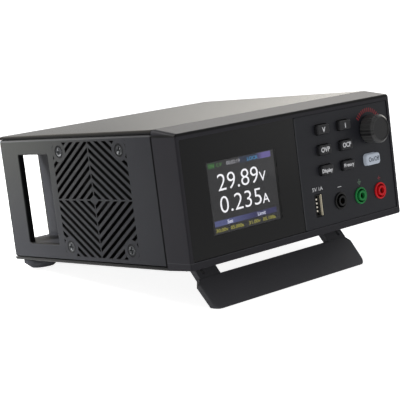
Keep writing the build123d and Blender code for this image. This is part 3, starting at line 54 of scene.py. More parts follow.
# Lengths are in millimetres on the level housing: x from its middle to the right, y from the joint
# of bezel and housing to the rear, z up from its floor. Blender itself measures in metres.
PER_METRE = 1000
BAIL_HINGE = (1.65, 15.1, -3.6)
# The square that the fan's four screws stand on.
FAN_SCREW_PITCH = 60.0
# The grille's nested diamonds, measured along the housing from the fan's axis: pitch of the slot
# rows, their width, first place and slope, and the margin of painted shade beside each slot.
SLOT_PITCH = 7.45
SLOT_WIDTH = 3.4
SLOT_START = -2.45
SLOT_SLOPE = 0.71
SLOT_MARGIN = 0.6
# Where the margins of painted shade end: at the ribs on the centre lines, at the grille's edge along
# and up from the fan's axis, and round the screws.
GRILLE_RIB = 0.35
GRILLE_REACH = (36.7, 35.9)
SCREW_LAND = 6.6
# Beyond the side walls, the top and the grille.
FAR = 99.0
# Depth over which a finish turns from a wall's face to the inside of its cuts.
FACE_BLEND = 0.1
# How far the window's print covers the display glass at the left, right, foot and top.
PRINT_COVER = (0.6, 2.3, 2.6, 2.4)
# Thickness of ink, its distance from the window, the display's distance from its glass, and the step
# from one layer of the lit display to the next.
INK = 0.03
PRINT_GAP = 0.01
DISPLAY_GAP = 0.06
LAYER = 0.04
# Height of a capital letter as a share of the type size.
CAP_SHARE = 0.729
# Points along a round corner and round a full ring.
CORNER_STEPS = 5
RING_STEPS = 48
# Real grain on these surfaces is 0.05 to 0.3 mm, too fine to show, so it is drawn as coarse as this.
FINE_GRAIN = 0.5
MOULD_GRAIN = 0.6
COAT_GRAIN = 0.8
# Size of the faint clouds in the tone of a coated or moulded surface.
CLOUD = 35
# Place of the colour among the outputs of a Mix node.
MIXED = 2

# Each key's word with its offset from the key's middle, height and width.
KEY_LEGENDS = {
    "key_volts": ("V", 0.1, -0.1, 3.0, 3.2),
    "key_amps": ("I", 0.1, -0.2, 3.0, 0.9),
    "key_limit_volts": ("OVP", -0.3, 0.2, 3.0, 7.8),
    "key_limit_amps": ("OCP", -0.3, 0.3, 3.0, 7.8),
    "key_view": ("Display", -0.5, -0.2, 2.3, 9.6),
    "key_store": ("Memory", -0.4, 0.2, 2.3, 9.6),
}


# ---------------------------------------------------------------- colours and places

def linear(colour):
    """An sRGB hex code as linear red, green and blue; numbers that are linear already stay so."""
    if not isinstance(colour, str):
        return list(colour)
    parts = [int(colour[i:i + 2], 16) / 255 for i in (1, 3, 5)]
    return [c / 12.92 if c <= 0.04045 else ((c + 0.055) / 1.055) ** 2.4 for c in parts]


def rgba(colour, share=1.0):
    """A colour with full alpha, made darker or lighter by a share."""
    return (*(min(1.0, c * share) for c in linear(colour)), 1.0)


def joint(name):
    """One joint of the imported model."""
    return next(j for j in frame["joints"] if j["name"] == name)


def standing():
    """The matrix from millimetres on the level housing to metres on the desk."""
    back = Vector(joint("output_key_press")["axis"])
    right = Vector((1, 0, 0))
    turn = Matrix((right, back, right.cross(back))).transposed().to_4x4()
    hinge = Matrix.Translation(Vector(joint("bail_hinge")["pos_m"]))
    scale = Matrix.Scale(1 / PER_METRE, 4)
    return hinge @ turn @ scale @ Matrix.Translation(-Vector(BAIL_HINGE))


STANDING = standing()
LEVEL = STANDING.inverted()


def level_box(name):
    """Lowest and highest corner of a CAD node on the level housing, to a hundredth of a millimetre."""
    node = frame["nodes"][name]
    points = [LEVEL @ (node.matrix_world @ v.co) for v in node.data.vertices]
    return [Vector([round(pick(p[axis] for p in points), 2) for axis in range(3)]) for pick in (min, max)]


def middle_of(name):
    """The middle of a CAD node on the level housing."""
    return sum(level_box(name), Vector()) / 2


SIDE_FACE = level_box("right_side_panel")[1].x
PANEL_FACE = level_box("keypad_panel")[0].y
FAN_AXIS = LEVEL @ Vector(joint("fan_spin")["pos_m"])


# ---------------------------------------------------------------- meshes

def piece(name, mesh, finish, body="housing"):
    """Puts a mesh drawn on the level housing in place, with its finish, riding on a body."""
    mesh.transform(STANDING)
    mesh.name = name
    mesh.materials.clear()
    mesh.materials.append(finish)
    made = bpy.data.objects.new(name, mesh)
    bpy.context.scene.collection.objects.link(made)
    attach(made, body)


def as_mesh(curve):
    """The mesh of a curve or of lettering."""
    holder = bpy.data.objects.new("holder", curve)
    bpy.context.scene.collection.objects.link(holder)
    bpy.context.view_layer.update()
    shown = holder.evaluated_get(bpy.context.evaluated_depsgraph_get())
    mesh = bpy.data.meshes.new_from_object(shown)
    bpy.data.objects.remove(holder)
    bpy.data.curves.remove(curve)
    return mesh


def prism(outline, y0, y1, holes=()):
    """A flat plate facing the front, from an outline and holes in x and z."""
    curve = bpy.data.curves.new("outline", "CURVE")
    curve.dimensions = "2D"
    curve.fill_mode = "BOTH"
    curve.extrude = (y1 - y0) / 2
    for ring in (outline, *holes):
        spline = curve.splines.new("POLY")
        spline.points.add(len(ring) - 1)
        for point, (x, z) in zip(spline.points, ring):
            point.co = (x, z, 0, 1)
        spline.use_cyclic_u = True
    mesh = as_mesh(curve)
    mesh.transform(Matrix.Translation((0, (y0 + y1) / 2, 0)) @ Matrix.Rotation(math.pi / 2, 4, "X"))
    return mesh


def side_plate(outline, x):
    """Thin ink facing the left side, from an outline in y and z."""
    form = bmesh.new()
    front = [form.verts.new((x - INK, y, z)) for y, z in outline]
    back = [form.verts.new((x, y, z)) for y, z in outline]
    form.faces.new(front)
    form.faces.new(back[::-1])
    for k in range(len(outline)):
        after = (k + 1) % len(outline)
        form.faces.new((front[k], back[k], back[after], front[after]))
    bmesh.ops.recalc_face_normals(form, faces=list(form.faces))
    mesh = bpy.data.meshes.new("side_plate")
    form.to_mesh(mesh)
    form.free()
    return mesh


def rounded(x0, x1, z0, z1, corner=0.0):
    """The outline of a rectangle with square or round corners."""
    if corner <= 0:
        return [(x0, z0), (x1, z0), (x1, z1), (x0, z1)]
    ring = []
    for x, z, start in (
            (x1 - corner, z0 + corner, -90), (x1 - corner, z1 - corner, 0),
            (x0 + corner, z1 - corner, 90), (x0 + corner, z0 + corner, 180)):
        for step in range(CORNER_STEPS + 1):
            angle = math.radians(start + 90 * step / CORNER_STEPS)
            ring.append((x + corner * math.cos(angle), z + corner * math.sin(angle)))
    return ring


def circle(radius):
    """The outline of a disc round the origin."""
    turns = [2 * math.pi * step / RING_STEPS for step in range(RING_STEPS)]
    return [(radius * math.cos(a), radius * math.sin(a)) for a in turns]


def panel_bar(middle, x, z, width, height):
    """A bar of ink on the keypad panel, by its middle's offset from another middle and its size."""
    x, z = middle.x + x, middle.z + z
    outline = rounded(x - width / 2, x + width / 2, z - height / 2, z + height / 2)
    return prism(outline, PANEL_FACE - INK, PANEL_FACE)


def lettering(body, x, z, height, width, y, bold, align="CENTER"):
    """Raised ink of plain upright lettering, with the height of its capitals and its full width."""
    curve = bpy.data.curves.new("lettering", "FONT")
    curve.body = body
    curve.align_x = align
    curve.offset = bold / height * CAP_SHARE
    curve.resolution_u = 4
    mesh = as_mesh(curve)
    xs = [v.co.x for v in mesh.vertices]
    shift = -min(xs) if align == "LEFT" else -(max(xs) + min(xs)) / 2
    scale = Matrix.Diagonal((width / (max(xs) - min(xs)), height / CAP_SHARE, 1, 1))
    mesh.transform(
        Matrix.Translation((x, y, z)) @ Matrix.Rotation(math.pi / 2, 4, "X")
        @ scale @ Matrix.Translation((shift, -CAP_SHARE / 2, 0)))
    return thickened(mesh)


def key_word(key, body, right, up, height, width, bold):
    """A key's word, by its offset from the middle of the key's face."""
    middle = middle_of(key)
    face = level_box(key)[0].y
    return lettering(body, middle.x + right, middle.z + up, height, width, face, bold)


def thickened(mesh):
    """A flat mesh given a back, so that it is a closed thin body of ink."""
    weld = 1e-5
    form = bmesh.new()
    form.from_mesh(mesh)
    bmesh.ops.remove_doubles(form, verts=form.verts, dist=weld)
    moved = bmesh.ops.extrude_face_region(form, geom=list(form.faces))
    verts = [g for g in moved["geom"] if isinstance(g, bmesh.types.BMVert)]
    bmesh.ops.translate(form, verts=verts, vec=(0, -INK, 0))
    bmesh.ops.recalc_face_normals(form, faces=list(form.faces))
    form.to_mesh(mesh)
    form.free()
    return mesh


def joined(meshes):
    """Several meshes as one."""
    form = bmesh.new()
    for mesh in meshes:
        form.from_mesh(mesh)
        bpy.data.meshes.remove(mesh)
    made = bpy.data.meshes.new("joined")
    form.to_mesh(made)
    form.free()
    return made


# ---------------------------------------------------------------- shader nodes

def add_node(tree, kind, links=None, **settings):
    """Adds a node with its settings, its input values and its links."""
    made = tree.nodes.new(kind)
    for name, value in settings.items():
        setattr(made, name, value)
    for name, value in (links or {}).items():
        if isinstance(value, bpy.types.NodeSocket):
            tree.links.new(value, made.inputs[name])
        else:
            made.inputs[name].default_value = value
    return made


def new_finish(name):
    """An empty material with its node tree and the place on the object that its patterns follow."""
    finish = bpy.data.materials.new(name)
    finish.use_nodes = True
    tree = finish.node_tree
    tree.nodes.clear()
    return finish, tree, add_node(tree, "ShaderNodeTexCoord").outputs["Object"]


def shaded(tree, sockets):
    """Ends a material with its shader, whose sockets take links or plain values."""
    shader = add_node(tree, "ShaderNodeBsdfPrincipled", sockets)
    add_node(tree, "ShaderNodeOutputMaterial", {"Surface": shader.outputs[0]})


def felt(tree, pattern, depth, smooth, rough):
    """Sockets for relief of a depth in millimetres and a range of roughness, by one pattern."""
    relief = add_node(tree, "ShaderNodeBump", {
        "Height": pattern, "Distance": depth / PER_METRE, "Strength": 1.0})
    gloss = add_node(tree, "ShaderNodeMapRange", {
        "Value": pattern, "To Min": smooth, "To Max": rough})
    return {"Normal": relief.outputs[0], "Roughness": gloss.outputs[0]}


def overlaid(finish, colour, share):
    """Lays a second colour over a finish wherever the share is 1."""
    tree = finish.node_tree
    shader = next(node for node in tree.nodes if node.type == "BSDF_PRINCIPLED")
    base = shader.inputs["Base Color"].links[0].from_socket
    mix = add_node(tree, "ShaderNodeMix", {
        "Factor": share, "A": base, "B": rgba(colour)}, data_type="RGBA")
    tree.links.new(mix.outputs[MIXED], shader.inputs["Base Color"])


def behind_face(tree, depth):
    """A share of 1 where the surface lies further than a depth behind a side wall's outer face."""
    place = add_node(tree, "ShaderNodeTexCoord").outputs["Object"]
    axes = add_node(tree, "ShaderNodeSeparateXYZ", {"Vector": place})
    outward = add_node(tree, "ShaderNodeMath", {0: axes.outputs[0]}, operation="ABSOLUTE")
    start = SIDE_FACE - depth
    end = start - FACE_BLEND
    return add_node(tree, "ShaderNodeMapRange", {
        "Value": outward.outputs[0], "From Min": start / PER_METRE,
        "From Max": end / PER_METRE}).outputs[0]


def level_place(tree, axis):
    """The place on the level housing along one axis, 0 to 2 for x to z, in millimetres."""
    row = LEVEL[axis]
    place = add_node(tree, "ShaderNodeTexCoord").outputs["Object"]
    along = add_node(tree, "ShaderNodeVectorMath", {
        0: place, 1: tuple(row[:3])}, operation="DOT_PRODUCT")
    return add_node(tree, "ShaderNodeMath", {
        0: along.outputs["Value"], 1: row[3]}, operation="ADD").outputs[0]


def between(tree, value, low, high, edge=0.12):
    """A share of 1 while a value lies between two limits, and 0 outside them."""
    rise = add_node(tree, "ShaderNodeMapRange", {
        "Value": value, "From Min": low - edge, "From Max": low + edge}).outputs[0]
    fall = add_node(tree, "ShaderNodeMapRange", {
        "Value": value, "From Min": high + edge, "From Max": high - edge}).outputs[0]
    return add_node(tree, "ShaderNodeMath", {0: rise, 1: fall}, operation="MULTIPLY").outputs[0]


def from_fan(tree):
    """Distances from the fan's axis along the housing and up, in millimetres."""
    distances = []
    for axis in (1, 2):
        offset = add_node(tree, "ShaderNodeMath", {
            0: level_place(tree, axis), 1: FAN_AXIS[axis]}, operation="SUBTRACT")
        distance = add_node(tree, "ShaderNodeMath", {0: offset.outputs[0]}, operation="ABSOLUTE")
        distances.append(distance.outputs[0])
    return distances


def round_screws(tree):
    """Distance from the nearest of the four fan screws, in millimetres."""
    offsets = [
        add_node(tree, "ShaderNodeMath", {
            0: distance, 1: FAN_SCREW_PITCH / 2}, operation="SUBTRACT").outputs[0]
        for distance in from_fan(tree)]
    flat = add_node(tree, "ShaderNodeCombineXYZ", {0: offsets[0], 1: offsets[1]})
    return add_node(tree, "ShaderNodeVectorMath", {
        0: flat.outputs[0]}, operation="LENGTH").outputs["Value"]


def beside_slots(tree):
    """A share of 1 in the grille's slots and along a narrow margin beside each of them."""
    along, up = from_fan(tree)
    reach = add_node(tree, "ShaderNodeMath", {
        0: up, 1: 1 / SLOT_SLOPE, 2: along}, operation="MULTIPLY_ADD").outputs[0]
    shifted = add_node(tree, "ShaderNodeMath", {
        0: reach, 1: SLOT_MARGIN - SLOT_START}, operation="ADD").outputs[0]
    place = add_node(tree, "ShaderNodeMath", {
        0: shifted, 1: SLOT_PITCH}, operation="MODULO").outputs[0]
    share = between(tree, place, 0.0, SLOT_WIDTH + 2 * SLOT_MARGIN, 0.2)
    first = SLOT_PITCH + SLOT_START - SLOT_MARGIN
    for value, low, high in (
            (along, GRILLE_RIB, GRILLE_REACH[0]), (up, GRILLE_RIB, GRILLE_REACH[1]),
            (reach, first, FAR), (round_screws(tree), SCREW_LAND, FAR)):
        share = add_node(tree, "ShaderNodeMath", {
            0: share, 1: between(tree, value, low, high)}, operation="MULTIPLY").outputs[0]
    return share


def off_axis(tree, joint_name, inner, outer):
    """A share from 0 at the inner radius round a joint's axis to 1 at the outer, and the way round."""
    turning = joint(joint_name)
    place = add_node(tree, "ShaderNodeTexCoord").outputs["Object"]
    arm = add_node(tree, "ShaderNodeVectorMath", {
        0: place, 1: turning["pos_m"]}, operation="SUBTRACT")
    reach = add_node(tree, "ShaderNodeVectorMath", {
        0: arm.outputs[0], 1: turning["axis"]}, operation="CROSS_PRODUCT")
    length = add_node(tree, "ShaderNodeVectorMath", {0: reach.outputs[0]}, operation="LENGTH")
    share = add_node(tree, "ShaderNodeMapRange", {
        "Value": length.outputs["Value"], "From Min": inner / PER_METRE,
        "From Max": outer / PER_METRE})
    heading = add_node(tree, "ShaderNodeVectorMath", {0: reach.outputs[0]}, operation="NORMALIZE")
    return share.outputs[0], heading.outputs[0]


def seen_by(tree, camera, glossy, other):
    """A strength that differs for what the camera sees, what gloss and glass show, and lighting."""
    path = add_node(tree, "ShaderNodeLightPath")
    shiny = add_node(tree, "ShaderNodeMath", {
        0: path.outputs["Is Glossy Ray"], 1: path.outputs["Is Transmission Ray"]},
        operation="MAXIMUM")
    inner = add_node(tree, "ShaderNodeMix", {"Factor": shiny.outputs[0], "A": other, "B": glossy})
    outer = add_node(tree, "ShaderNodeMix", {
        "Factor": path.outputs["Is Camera Ray"], "A": inner.outputs[0], "B": camera})
    return outer.outputs[0]


# ---------------------------------------------------------------- finishes

def grained(name, colour, rough, grain, depth, mottle=0.08, metallic=0.0, shine=0.5, spread=0.06,
            glow=0.0):
    """A surface with fine relief and slight variation in tone and gloss; grain and depth in mm."""
    finish, tree, place = new_finish(name)
    fine = add_node(tree, "ShaderNodeTexNoise", {
        "Vector": place, "Scale": PER_METRE / grain, "Detail": 3.0, "Roughness": 0.6})
    broad = add_node(tree, "ShaderNodeTexNoise", {
        "Vector": place, "Scale": PER_METRE / CLOUD, "Detail": 2.0, "Roughness": 0.5})
    tone = add_node(tree, "ShaderNodeMix", {
        "Factor": broad.outputs[0], "A": rgba(colour, 1 - mottle),
        "B": rgba(colour, 1 + mottle)}, data_type="RGBA")
    sockets = felt(tree, fine.outputs[0], depth, rough - spread, rough + spread)
    sockets.update({
        "Base Color": tone.outputs[MIXED], "Metallic": metallic, "Specular IOR Level": shine})
    if glow:
        sockets.update({"Emission Color": rgba(colour), "Emission Strength": glow})
    shaded(tree, sockets)
    return finish


def glowing(name, colour, strength, end_colour=None, span=None):
    """A part of the lit display; its colour may run from one end of a span of x to the other."""
    finish, tree, place = new_finish(name)
    # The dots of such a display are 0.17 mm; drawn at 0.6 mm so that they can show at all.
    dots = add_node(tree, "ShaderNodeTexNoise", {
        "Vector": place, "Scale": PER_METRE / 0.6, "Detail": 1.0})
    mix = add_node(tree, "ShaderNodeMix", {
        "Factor": dots.outputs[0], "A": rgba(colour, 0.94), "B": rgba(colour)}, data_type="RGBA")
    if end_colour:
        across = add_node(tree, "ShaderNodeSeparateXYZ", {"Vector": place})
        share = add_node(tree, "ShaderNodeMapRange", {
            "Value": across.outputs[0], "From Min": span[0] / PER_METRE,
            "From Max": span[1] / PER_METRE})
        mix = add_node(tree, "ShaderNodeMix", {
            "Factor": share.outputs[0], "A": mix.outputs[MIXED], "B": rgba(end_colour)},
            data_type="RGBA")
    shaded(tree, {
        "Base Color": rgba("#0c0c0c"), "Roughness": 0.4,
        "Emission Color": mix.outputs[MIXED], "Emission Strength": strength})
    return finish


def smoked_acrylic():
    """Cast acrylic with the faintest smoke tint: a clear window with a mirror gloss and soft waves."""
    finish, tree, place = new_finish("cast_acrylic_smoked")
    wave = add_node(tree, "ShaderNodeTexNoise", {
        "Vector": place, "Scale": PER_METRE / 40, "Detail": 1.0})
    shaded(tree, {
        **felt(tree, wave.outputs[0], 0.02, 0.02, 0.06), "Base Color": rgba("#e6e6ea"),
        "Transmission Weight": 1.0, "IOR": 1.49})
    return finish


def brushed_metal(name, colour, rough, depth, pitch=0.4):
    """Metal with fine lines left by drawing or turning; pitch and depth in mm."""
    # Real lines are about 0.05 mm apart, and they are drawn 0.4 mm or more apart so that they can show.
    finish, tree, place = new_finish(name)
    stretched = add_node(tree, "ShaderNodeMapping", {"Vector": place, "Scale": (0.1, 1.0, 1.0)})
    lines = add_node(tree, "ShaderNodeTexNoise", {
        "Vector": stretched.outputs[0], "Scale": PER_METRE / pitch, "Detail": 2.0})
    mix = add_node(tree, "ShaderNodeMix", {
        "Factor": lines.outputs[0], "A": rgba(colour, 0.9), "B": rgba(colour)}, data_type="RGBA")
    shaded(tree, {
        **felt(tree, lines.outputs[0], depth, rough - 0.06, rough + 0.08),
        "Base Color": mix.outputs[MIXED], "Metallic": 1.0})
    return finish


def wound_wire():
    """Enamelled copper wire wound side by side: round ridges with an amber gloss."""
    finish, tree, place = new_finish("enamelled_copper_wound")
    # The wire is 1 mm thick, and its turns are drawn nearly 2 mm apart so that they can show. At a
    # scale of 1 the pattern's bands are a twentieth of a full turn in radians apart.
    turn_pitch = 1.974
    turns = add_node(tree, "ShaderNodeTexWave", {
        "Vector": place, "Scale": PER_METRE / turn_pitch * 2 * math.pi / 20, "Distortion": 0.4},
        bands_direction="Y")
    relief = add_node(tree, "ShaderNodeBump", {
        "Height": turns.outputs[1], "Distance": 0.4 / PER_METRE, "Strength": 1.0})
    # The grooves between the turns are painted darker, as painted shade between the wires.
    mix = add_node(tree, "ShaderNodeMix", {
        "Factor": turns.outputs[1], "A": rgba("#b5682f", 0.35), "B": rgba("#b5682f")},
        data_type="RGBA")
    shaded(tree, {
        "Base Color": mix.outputs[MIXED], "Roughness": 0.3, "Normal": relief.outputs[0],
        "Metallic": 0.8})
    return finish


def wall_coat(name, colour):
    """Powder coat on aluminium: duller than on the lid, with the same peel."""
    return grained(name, colour, 0.5, COAT_GRAIN, 0.03, shine=0.35)


def paint(finish, *names):
    """Gives CAD nodes their finish."""
    for name in names:
        mesh = frame["nodes"][name].data
        mesh.materials.clear()
        mesh.materials.append(finish)


def soft_lamp(name, place, target, size, power, spread=180):
    """A square soft lamp aimed at a point, in metres, with its spread in degrees."""
    light = bpy.data.lights.new(name, "AREA")
    light.shape = "SQUARE"
    light.size = size
    light.energy = power
    light.spread = math.radians(spread)
    made = bpy.data.objects.new(name, light)
    made.location = place
    made.rotation_euler = (Vector(target) - Vector(place)).to_track_quat("-Z", "Y").to_euler()
    bpy.context.scene.collection.objects.link(made)


def backdrop_card():
    """White card: matt and very even. It glows, most of all to the camera, so that it stays pale."""
    finish, tree, _ = new_finish("paper_backdrop_white")
    # Without a link the pattern runs once over the floor's 12 m, so this scale gives spots of 13 mm.
    grain = add_node(tree, "ShaderNodeTexNoise", {"Scale": 900.0, "Detail": 2.0})
    tone = add_node(tree, "ShaderNodeMapRange", {
        "Value": grain.outputs[0], "To Min": 0.60, "To Max": 0.64})
    shaded(tree, {
        "Base Color": tone.outputs[0], "Roughness": 0.9, "Specular IOR Level": 0.0,
        "Emission Color": (1, 1, 1, 1), "Emission Strength": seen_by(tree, 0.90, 0.05, 0.5)})
    return finish


def room(strength):
    """A world that is white to the camera and lights evenly; gloss shows it darker in front of the unit."""
    world = bpy.data.worlds.new("room")
    world.use_nodes = True
    tree = world.node_tree
    tree.nodes.clear()
    way = add_node(tree, "ShaderNodeTexCoord").outputs["Generated"]
    axes = add_node(tree, "ShaderNodeSeparateXYZ", {"Vector": way})
    # What gloss shows: dark in front, bright behind, brightest far to the right, dimmer high up.
    gloss = 1.0
    for axis, start, end, low, high in (
            (1, -0.35, 0.35, 0.25, 1.0), (0, 0.60, 0.74, 0.58, 2.4), (2, 0.32, 0.55, 1.0, 0.6)):
        part = add_node(tree, "ShaderNodeMapRange", {
            "Value": axes.outputs[axis], "From Min": start, "From Max": end,
            "To Min": low, "To Max": high})
        gloss = add_node(tree, "ShaderNodeMath", {
            0: gloss, 1: part.outputs[0]}, operation="MULTIPLY").outputs[0]
    # The far side is a little warmer in gloss.
    behind = add_node(tree, "ShaderNodeMapRange", {
        "Value": axes.outputs[1], "From Min": -0.1, "From Max": 0.3})
    path = add_node(tree, "ShaderNodeLightPath")
    tint = add_node(tree, "ShaderNodeMath", {
        0: path.outputs["Is Glossy Ray"], 1: behind.outputs[0]}, operation="MULTIPLY")
    warm = add_node(tree, "ShaderNodeMix", {
        "Factor": tint.outputs[0], "A": (1, 1, 1, 1), "B": (1.0, 0.955, 0.88, 1)},
        data_type="RGBA")
    back = add_node(tree, "ShaderNodeBackground", {
        "Color": warm.outputs[MIXED], "Strength": seen_by(tree, 1.0, gloss, strength)})
    add_node(tree, "ShaderNodeOutputWorld", {"Surface": back.outputs[0]})
    return world


# ---------------------------------------------------------------- settings

class SupplyFinishes(bpy.types.PropertyGroup):
    housing: FloatVectorProperty(
        name="Housing", description="Powder coat of lid, floor and rear", subtype="COLOR",
        default=linear("#3b3a38"))
    sides: FloatVectorProperty(
        name="Sides", description="Powder coat of the two side walls", subtype="COLOR",
        default=linear("#313237"))
    bezel: FloatVectorProperty(
        name="Bezel", description="Moulded front frame", subtype="COLOR", default=linear("#2b2a30"))
    keypad: FloatVectorProperty(
        name="Keypad", description="Satin film on the keypad panel", subtype="COLOR",
        default=linear("#27282e"))


class SupplyDisplay(bpy.types.PropertyGroup):
    right: FloatProperty(
        name="To the right", description="Lit area's middle, from the middle of the display glass",
        subtype="DISTANCE", precision=4, default=-0.6 / PER_METRE)
    up: FloatProperty(
        name="Up", description="Lit area's middle, from the middle of the display glass",
        subtype="DISTANCE", precision=4, default=-0.05 / PER_METRE)
    width: FloatProperty(
        name="Width", description="Width of the lit area", subtype="DISTANCE", precision=4,
        default=54.0 / PER_METRE)
    height: FloatProperty(
        name="Height", description="Height of the lit area", subtype="DISTANCE", precision=4,
        default=41.9 / PER_METRE)
    volts: StringProperty(name="Volts", description="Upper reading", default="29.89")
    amps: StringProperty(name="Amps", description="Lower reading", default="0.235")


class SupplyStage(bpy.types.PropertyGroup):
    eye: FloatVectorProperty(
        name="Camera place", description="Camera place on the level housing", subtype="TRANSLATION",
        precision=4, default=[far / PER_METRE for far in (-563.783, -572.050, 131.705)])
    turn: FloatVectorProperty(
        name="Camera turn", description="Camera angles about X, Y and Z on the desk",
        subtype="EULER", default=[math.radians(a) for a in (76.76064, 1.59374, -42.63061)])
    lens: FloatProperty(
        name="Lens", description="Focal length on a sensor 36 mm wide", unit="CAMERA",
        default=117.748)
    back: FloatProperty(
        name="Back lamp", description="Soft lamp behind at the left", unit="POWER", default=1.2)
    top: FloatProperty(
        name="Top lamp", description="Soft lamp above at the right", unit="POWER", default=1.0)
    room: FloatProperty(
        name="Room light", description="Strength of the even light of the room", default=0.44)


# ---------------------------------------------------------------- operators

class SUPPLY_OT_sheets(bpy.types.Operator):
    """Coats the lid, the floor, the rear and the grip pockets"""
    bl_idname = "supply.sheets"
    bl_label = "Sheet metal"

    def execute(self, context):
        tones = context.scene.supply_finishes
        # Powder coat on steel: satin with a faint orange peel, so broad soft reflections.
        coat = grained("powder_coated_steel", tones.housing, 0.15, COAT_GRAIN, 0.003, spread=0.03)
        # Painted shade: the folded edges beside the walls are painted near black for the shade in their
        # seams.
        painted_seam_shade = add_node(coat.node_tree, "ShaderNodeMath", {
            0: 1.0, 1: behind_face(coat.node_tree, 0.3)}, operation="SUBTRACT")
        overlaid(coat, "#0e0e0d", painted_seam_shade.outputs[0])
        paint(coat, "bottom_tray", "top_cover", "rear_panel")
        pockets = wall_coat("powder_coated_aluminium", tones.sides)
        paint(pockets, "left_grip_pocket", "right_grip_pocket")
        return {"FINISHED"}


class SUPPLY_OT_side_walls(bpy.types.Operator):
    """Coats the two side walls, whose slots are cut through the coat"""
    bl_idname = "supply.side_walls"
    bl_label = "Side walls"

    def execute(self, context):
        tones = context.scene.supply_finishes
        for side in ("left", "right"):
            coat = wall_coat(f"powder_coated_aluminium_{side}", tones.sides)
            tree = coat.node_tree
            height = level_place(tree, 2)
            # Painted light: the coat is painted paler toward the upper rear, where more light falls, from
            # 10 to
            # 74 mm up and from 20 to 120 mm behind the bezel.
            upward = add_node(tree, "ShaderNodeMapRange", {
                "Value": height, "From Min": 10.0, "From Max": 74.0})
            rearward = add_node(tree, "ShaderNodeMapRange", {
                "Value": level_place(tree, 1), "From Min": 20.0, "From Max": 120.0})
            painted_light = add_node(tree, "ShaderNodeMath", {
                0: upward.outputs[0], 1: rearward.outputs[0]}, operation="MULTIPLY")
            overlaid(coat, "#424341", painted_light.outputs[0])
            # Painted shade: the inside of the cuts is painted near black, and a margin of painted shade
            # beside each slot lets the slots look as wide as they would in a thinner wall.
            overlaid(coat, "#0c0c0d", behind_face(tree, 0.08))
            overlaid(coat, "#101011", beside_slots(tree))
            # Only the left wall has screws; a ring of painted shade darkens their countersinks at the rim.
            if side == "left":
                overlaid(coat, "#121213", between(tree, round_screws(tree), 3.5, 4.1))
            # A painted highlight runs along the upper edge, where it catches the light, and a line of
            # painted shade under the lid's seam lies over it.
            top = level_box(f"{side}_side_panel")[1].z
            overlaid(coat, "#59595a", between(tree, height, top - 1.5, top - 0.7))
            overlaid(coat, "#19191a", between(tree, height, top - 0.35, FAR))
            paint(coat, f"{side}_side_panel")
        return {"FINISHED"}


class SUPPLY_OT_metal_parts(bpy.types.Operator):
    """Finishes screws, brackets, pins, sleeves, nuts and heatsinks"""
    bl_idname = "supply.metal_parts"
    bl_label = "Metal parts"

    def execute(self, context):
        # Blackened steel: dark, slightly oily metal.
        black = grained("blackened_steel", "#29292b", 0.36, FINE_GRAIN, 0.01, metallic=0.6)
        paint(black, "bail_bracket_left", "bail_bracket_right", "inlet_screws")
        # Black nickel: each head shows bright specks, painted glints that stand for highlights, inside a
        # ring of painted shade at the rim. The real specks are 0.5 mm across, drawn at 2.2 mm so that they
        # can show.
        painted_glints = grained(
            "black_nickel_plated_steel", "#46484a", 0.3, FINE_GRAIN, 0.006, metallic=0.3)
        tree = painted_glints.node_tree
        specks = add_node(tree, "ShaderNodeTexNoise", {
            "Vector": add_node(tree, "ShaderNodeTexCoord").outputs["Object"],
            "Scale": PER_METRE / 2.2, "Detail": 1.0})
        speck_glints = add_node(tree, "ShaderNodeMapRange", {
            "Value": specks.outputs[0], "From Min": 0.55, "From Max": 0.64})
        overlaid(painted_glints, "#a2a4a6", speck_glints.outputs[0])
        overlaid(painted_glints, "#141518", between(tree, round_screws(tree), 2.8, 4.0))
        paint(painted_glints, "fan_screws")
        # Zinc plate: pale grey metal with fine turning lines.
        zinc = brushed_metal("zinc_plated_steel", "#a9a9a6", 0.34, 0.01)
        paint(zinc, "foot_screws", "bail_pins", "bezel_posts", "encoder_shaft")
        # Gold plate on turned brass: yellow and bright.
        gold = brushed_metal("gold_plated_brass", "#d8b06a", 0.25, 0.006)
        paint(gold, "jack_sleeves", "board_spacers")
        # Nickel plate on turned brass: warm white metal with clear reflections.
        nickel = brushed_metal("nickel_plated_brass", "#c9c6bf", 0.22, 0.006)
        paint(nickel, "jack_nuts", "encoder_nut", "encoder_body", "lcd_frame", "inlet_blades")
        # Extruded aluminium: pale, with wide drawn lines along the fins.
        fins = brushed_metal("aluminium_extruded", "#bdbec0", 0.35, 0.02, pitch=0.8)
        paint(fins, "heatsink_left", "heatsink_right")
        return {"FINISHED"}


class SUPPLY_OT_feet_and_bail(bpy.types.Operator):
    """Finishes what the unit stands on"""
    bl_idname = "supply.feet_and_bail"
    bl_label = "Feet and bail"

    def execute(self, context):
        # Moulded rubber: dark blue-grey, no gloss.
        rubber = grained("moulded_rubber", "#2c2d33", 0.75, MOULD_GRAIN, 0.04)
        paint(rubber, "rear_feet", "front_feet")
        # Glass-filled nylon: dull, with faint clouds.
        nylon = grained("nylon_glass_filled", "#4e4e52", 0.5, MOULD_GRAIN, 0.03, shine=0.35)
        paint(nylon, "bail")
        return {"FINISHED"}


